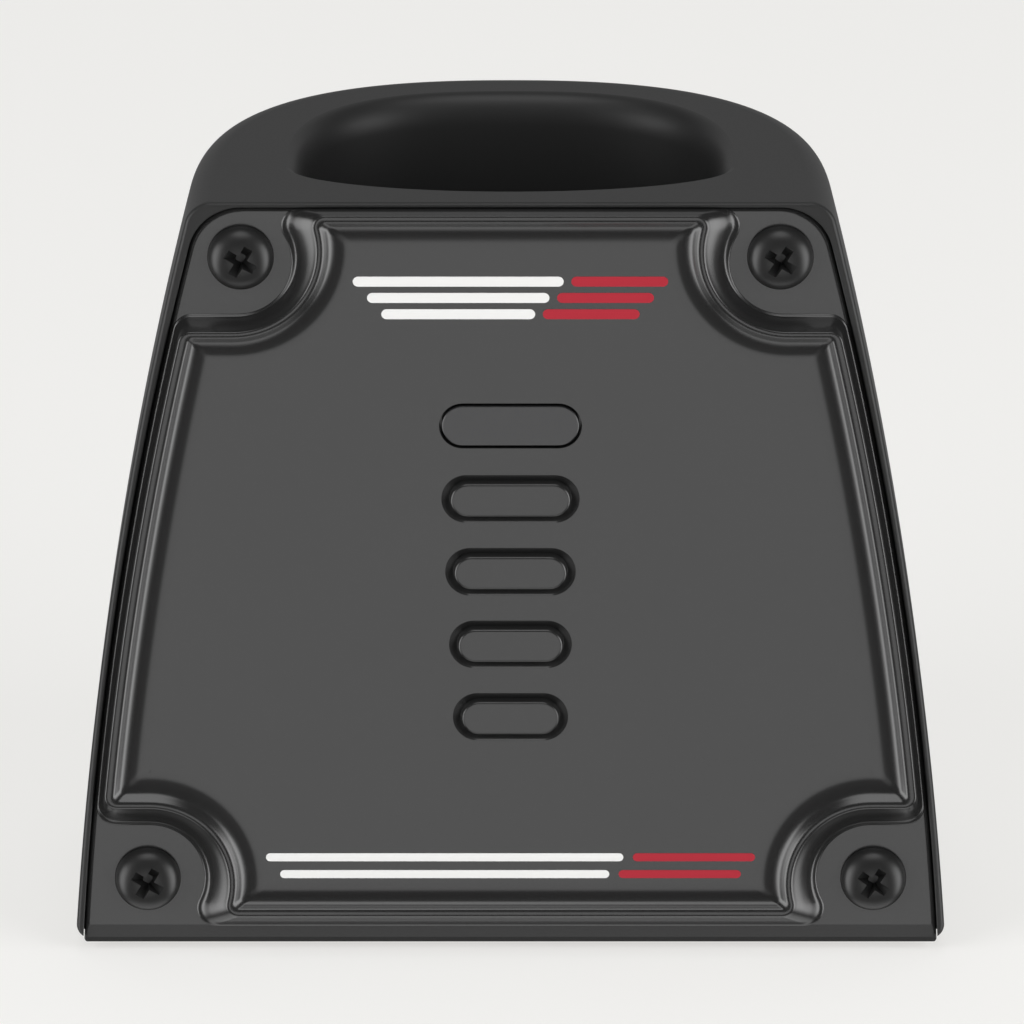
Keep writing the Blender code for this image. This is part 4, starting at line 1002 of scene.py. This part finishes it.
# ---------------------------------------------------------------- charging contacts
def contacts():
    """Rounded plungers in the well's floor and the springs under them."""
    flange_top = BLOCK_BOTTOM + BLOCK_HEIGHT - 0.0001
    flange_bottom = flange_top - FLANGE_HEIGHT
    tip = WELL_FLOOR_TOP + CONTACT_PROUD
    low = BLOCK_BOTTOM + 0.0004 + SPRING_WIRE + SEAT_GAP
    high = flange_bottom - SPRING_WIRE - SEAT_GAP
    for side, sign in SIDES.items():
        x = sign * CONTACT_X
        profile = []
        for sine, cosine in arc_steps(8):
            profile.append((PLUNGER_RADIUS * (1 - sine), tip - 0.0009 * cosine))
        profile += [(PLUNGER_RADIUS, flange_top), (FLANGE_RADIUS, flange_top)]
        profile += [(FLANGE_RADIUS, flange_bottom), (TAIL_RADIUS, flange_bottom)]
        profile += [(TAIL_RADIUS, flange_bottom - TAIL_LENGTH), (0, flange_bottom - TAIL_LENGTH)]
        pin = turned(f"plunger_{side}", profile, place(UPRIGHT, x, CONTACT_Y, 0))
        piece(pin, GOLD, "gold_plate", f"contact_{side}", f"contact_pin_{side}")

        spring = coil(f"coil_{side}", x, low, high)
        piece(spring, STEEL, "steel", "base", f"contact_spring_{side}", sharp=60, weighted=False)
        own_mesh(spring)


def coil(name, x, low, high, steps=24, around=10):
    """Helix of round wire with capped ends."""
    count = steps * SPRING_TURNS
    loops = []
    for i in range(count + 1):
        angle = 2 * math.pi * SPRING_TURNS * i / count
        outward = Vector((math.cos(angle), math.sin(angle), 0))
        centre = Vector((x, CONTACT_Y, low + (high - low) * i / count)) + outward * SPRING_RADIUS
        loops.append([
            centre + (outward * math.cos(t) + Vector((0, 0, 1)) * math.sin(t)) * SPRING_WIRE
            for t in [2 * math.pi * k / around for k in range(around)]
        ])
    return loft(name, loops)


# ---------------------------------------------------------------- inlet and base
def inlet():
    """Socket with a chamfered mouth in the rear wall, and its centre pin."""
    end = JACK_DEPTH + 0.0040
    body = box("inlet_socket", (0.0090, 0.0110, JACK_DEPTH), place(JACK, 0, 0, JACK_DEPTH / 2))
    nose = [(0, end), (0.0038, end), (JACK_NOSE_RADIUS, end - 0.0003),
            (JACK_NOSE_RADIUS, JACK_DEPTH - 0.0010), (0, JACK_DEPTH - 0.0010)]
    carve(body, [turned("nose", nose, JACK, 64)], "UNION")
    bore = [(0, end + 0.001), (0.0045, end + 0.001), (0.0028, end - 0.0006),
            (0.0028, JACK_DEPTH - 0.0060), (0, JACK_DEPTH - 0.0060)]
    tools = [turned("bore", bore, JACK, 64)]
    tools.append(cylinder("pin_hole", 0.0013, 0.0100, place(JACK, 0, 0, -0.0010)))
    tools.append(box("tab_slot", (0.0026, 0.0011, 0.0060), place(JACK, 0, 0.0040, 0)))
    carve(body, tools)
    piece(body, PLASTIC, "black_plastic", "base", "jack_body")

    tip = JACK_DEPTH + 0.0030
    profile = [(0.0010 * (1 - sine), tip - 0.0007 * cosine) for sine, cosine in arc_steps(8)]
    pin = turned("inlet_pin", [*profile, (0.0010, -0.0015), (0, -0.0015)], JACK)
    piece(pin, STEEL, "steel", "base", "jack_pin")


def base():
    """Cover with its screw pockets, feet and label."""
    front = RECESS_DEPTH + RECESS_FLOOR + FIT_GAP
    loops = [body_loop(COVER_BOTTOM, WALL + FIT_GAP + 0.0003, front + 0.0003)]
    loops.append(body_loop(COVER_BOTTOM + 0.0003, WALL + FIT_GAP, front))
    loops.append(body_loop(COVER_TOP, WALL + FIT_GAP, front))
    cover = loft("underside_cover", loops)
    saddle_top = JACK_HEIGHT - 0.0055 - SEAT_GAP
    saddle_height = saddle_top - COVER_TOP + 0.001
    at = place(UPRIGHT, 0, JACK_BACK + 0.0060, saddle_top - saddle_height / 2)
    carve(cover, [box("saddle", (0.0110, 0.0080, saddle_height), at)], "UNION")
    at = place(UPRIGHT, 0, 0, COVER_BOTTOM - 0.0003)
    tools = [box("label_seat", (0.0350, 0.0170, 0.0014), at)]
    for name, (x, y) in base_places(BASE_SCREWS):
        at = place(UPRIGHT, x, y, COVER_BOTTOM - CUT_PAST)
        tools.append(cylinder("hole", PILOT_RADIUS, 0.0060, at))
        pocket = [(0, CUT_PAST + POCKET_DEPTH), (0.0033, CUT_PAST + POCKET_DEPTH)]
        pocket += [(0.0033, 0.0013), (0.0036, CUT_PAST), (0.0036, 0), (0, 0)]
        tools.append(turned("pocket", pocket, at))
    for name, (x, y) in base_places(FEET):
        at = place(UPRIGHT, x, y, COVER_BOTTOM - CUT_PAST)
        tools.append(cylinder("seat", FOOT_RADIUS + FIT_GAP, CUT_PAST + FOOT_SEAT, at, 64))
        high = COVER_BOTTOM + FOOT_SEAT - SEAT_GAP
        foot = [(0, high), (FOOT_RADIUS - 0.0001, high), (FOOT_RADIUS, high - 0.0001)]
        foot += [(FOOT_RADIUS, FOOT_EDGE)]
        foot += [(FOOT_RADIUS - FOOT_EDGE * cosine, FOOT_EDGE * sine)
                 for sine, cosine in arc_steps(6)]
        foot += [(0.0036, 0.0), (0.0034, 0.0002), (0, 0.0002)]
        rubber = turned(f"rubber_foot_{name}", foot, place(UPRIGHT, x, y, 0), 64)
        piece(rubber, RUBBER, "rubber", "base", f"foot_{name}")
    for sign in SIDES.values():
        at = place(UPRIGHT, sign * BALLAST_SCREW[0], BALLAST_SCREW[1], COVER_TOP - 0.0020)
        tools.append(cylinder("pilot", PILOT_RADIUS, 0.0060, at))
    carve(cover, tools)
    piece(cover, PLASTIC, "black_plastic", "base", "base_cover")


finish_cad_nodes()
housing()
front_plate()
indicator_window()
marks()
screws()
contacts()
inlet()
base()
camera()
world()
floor_and_lights()
bpy.context.scene.view_settings.view_transform = "Standard"
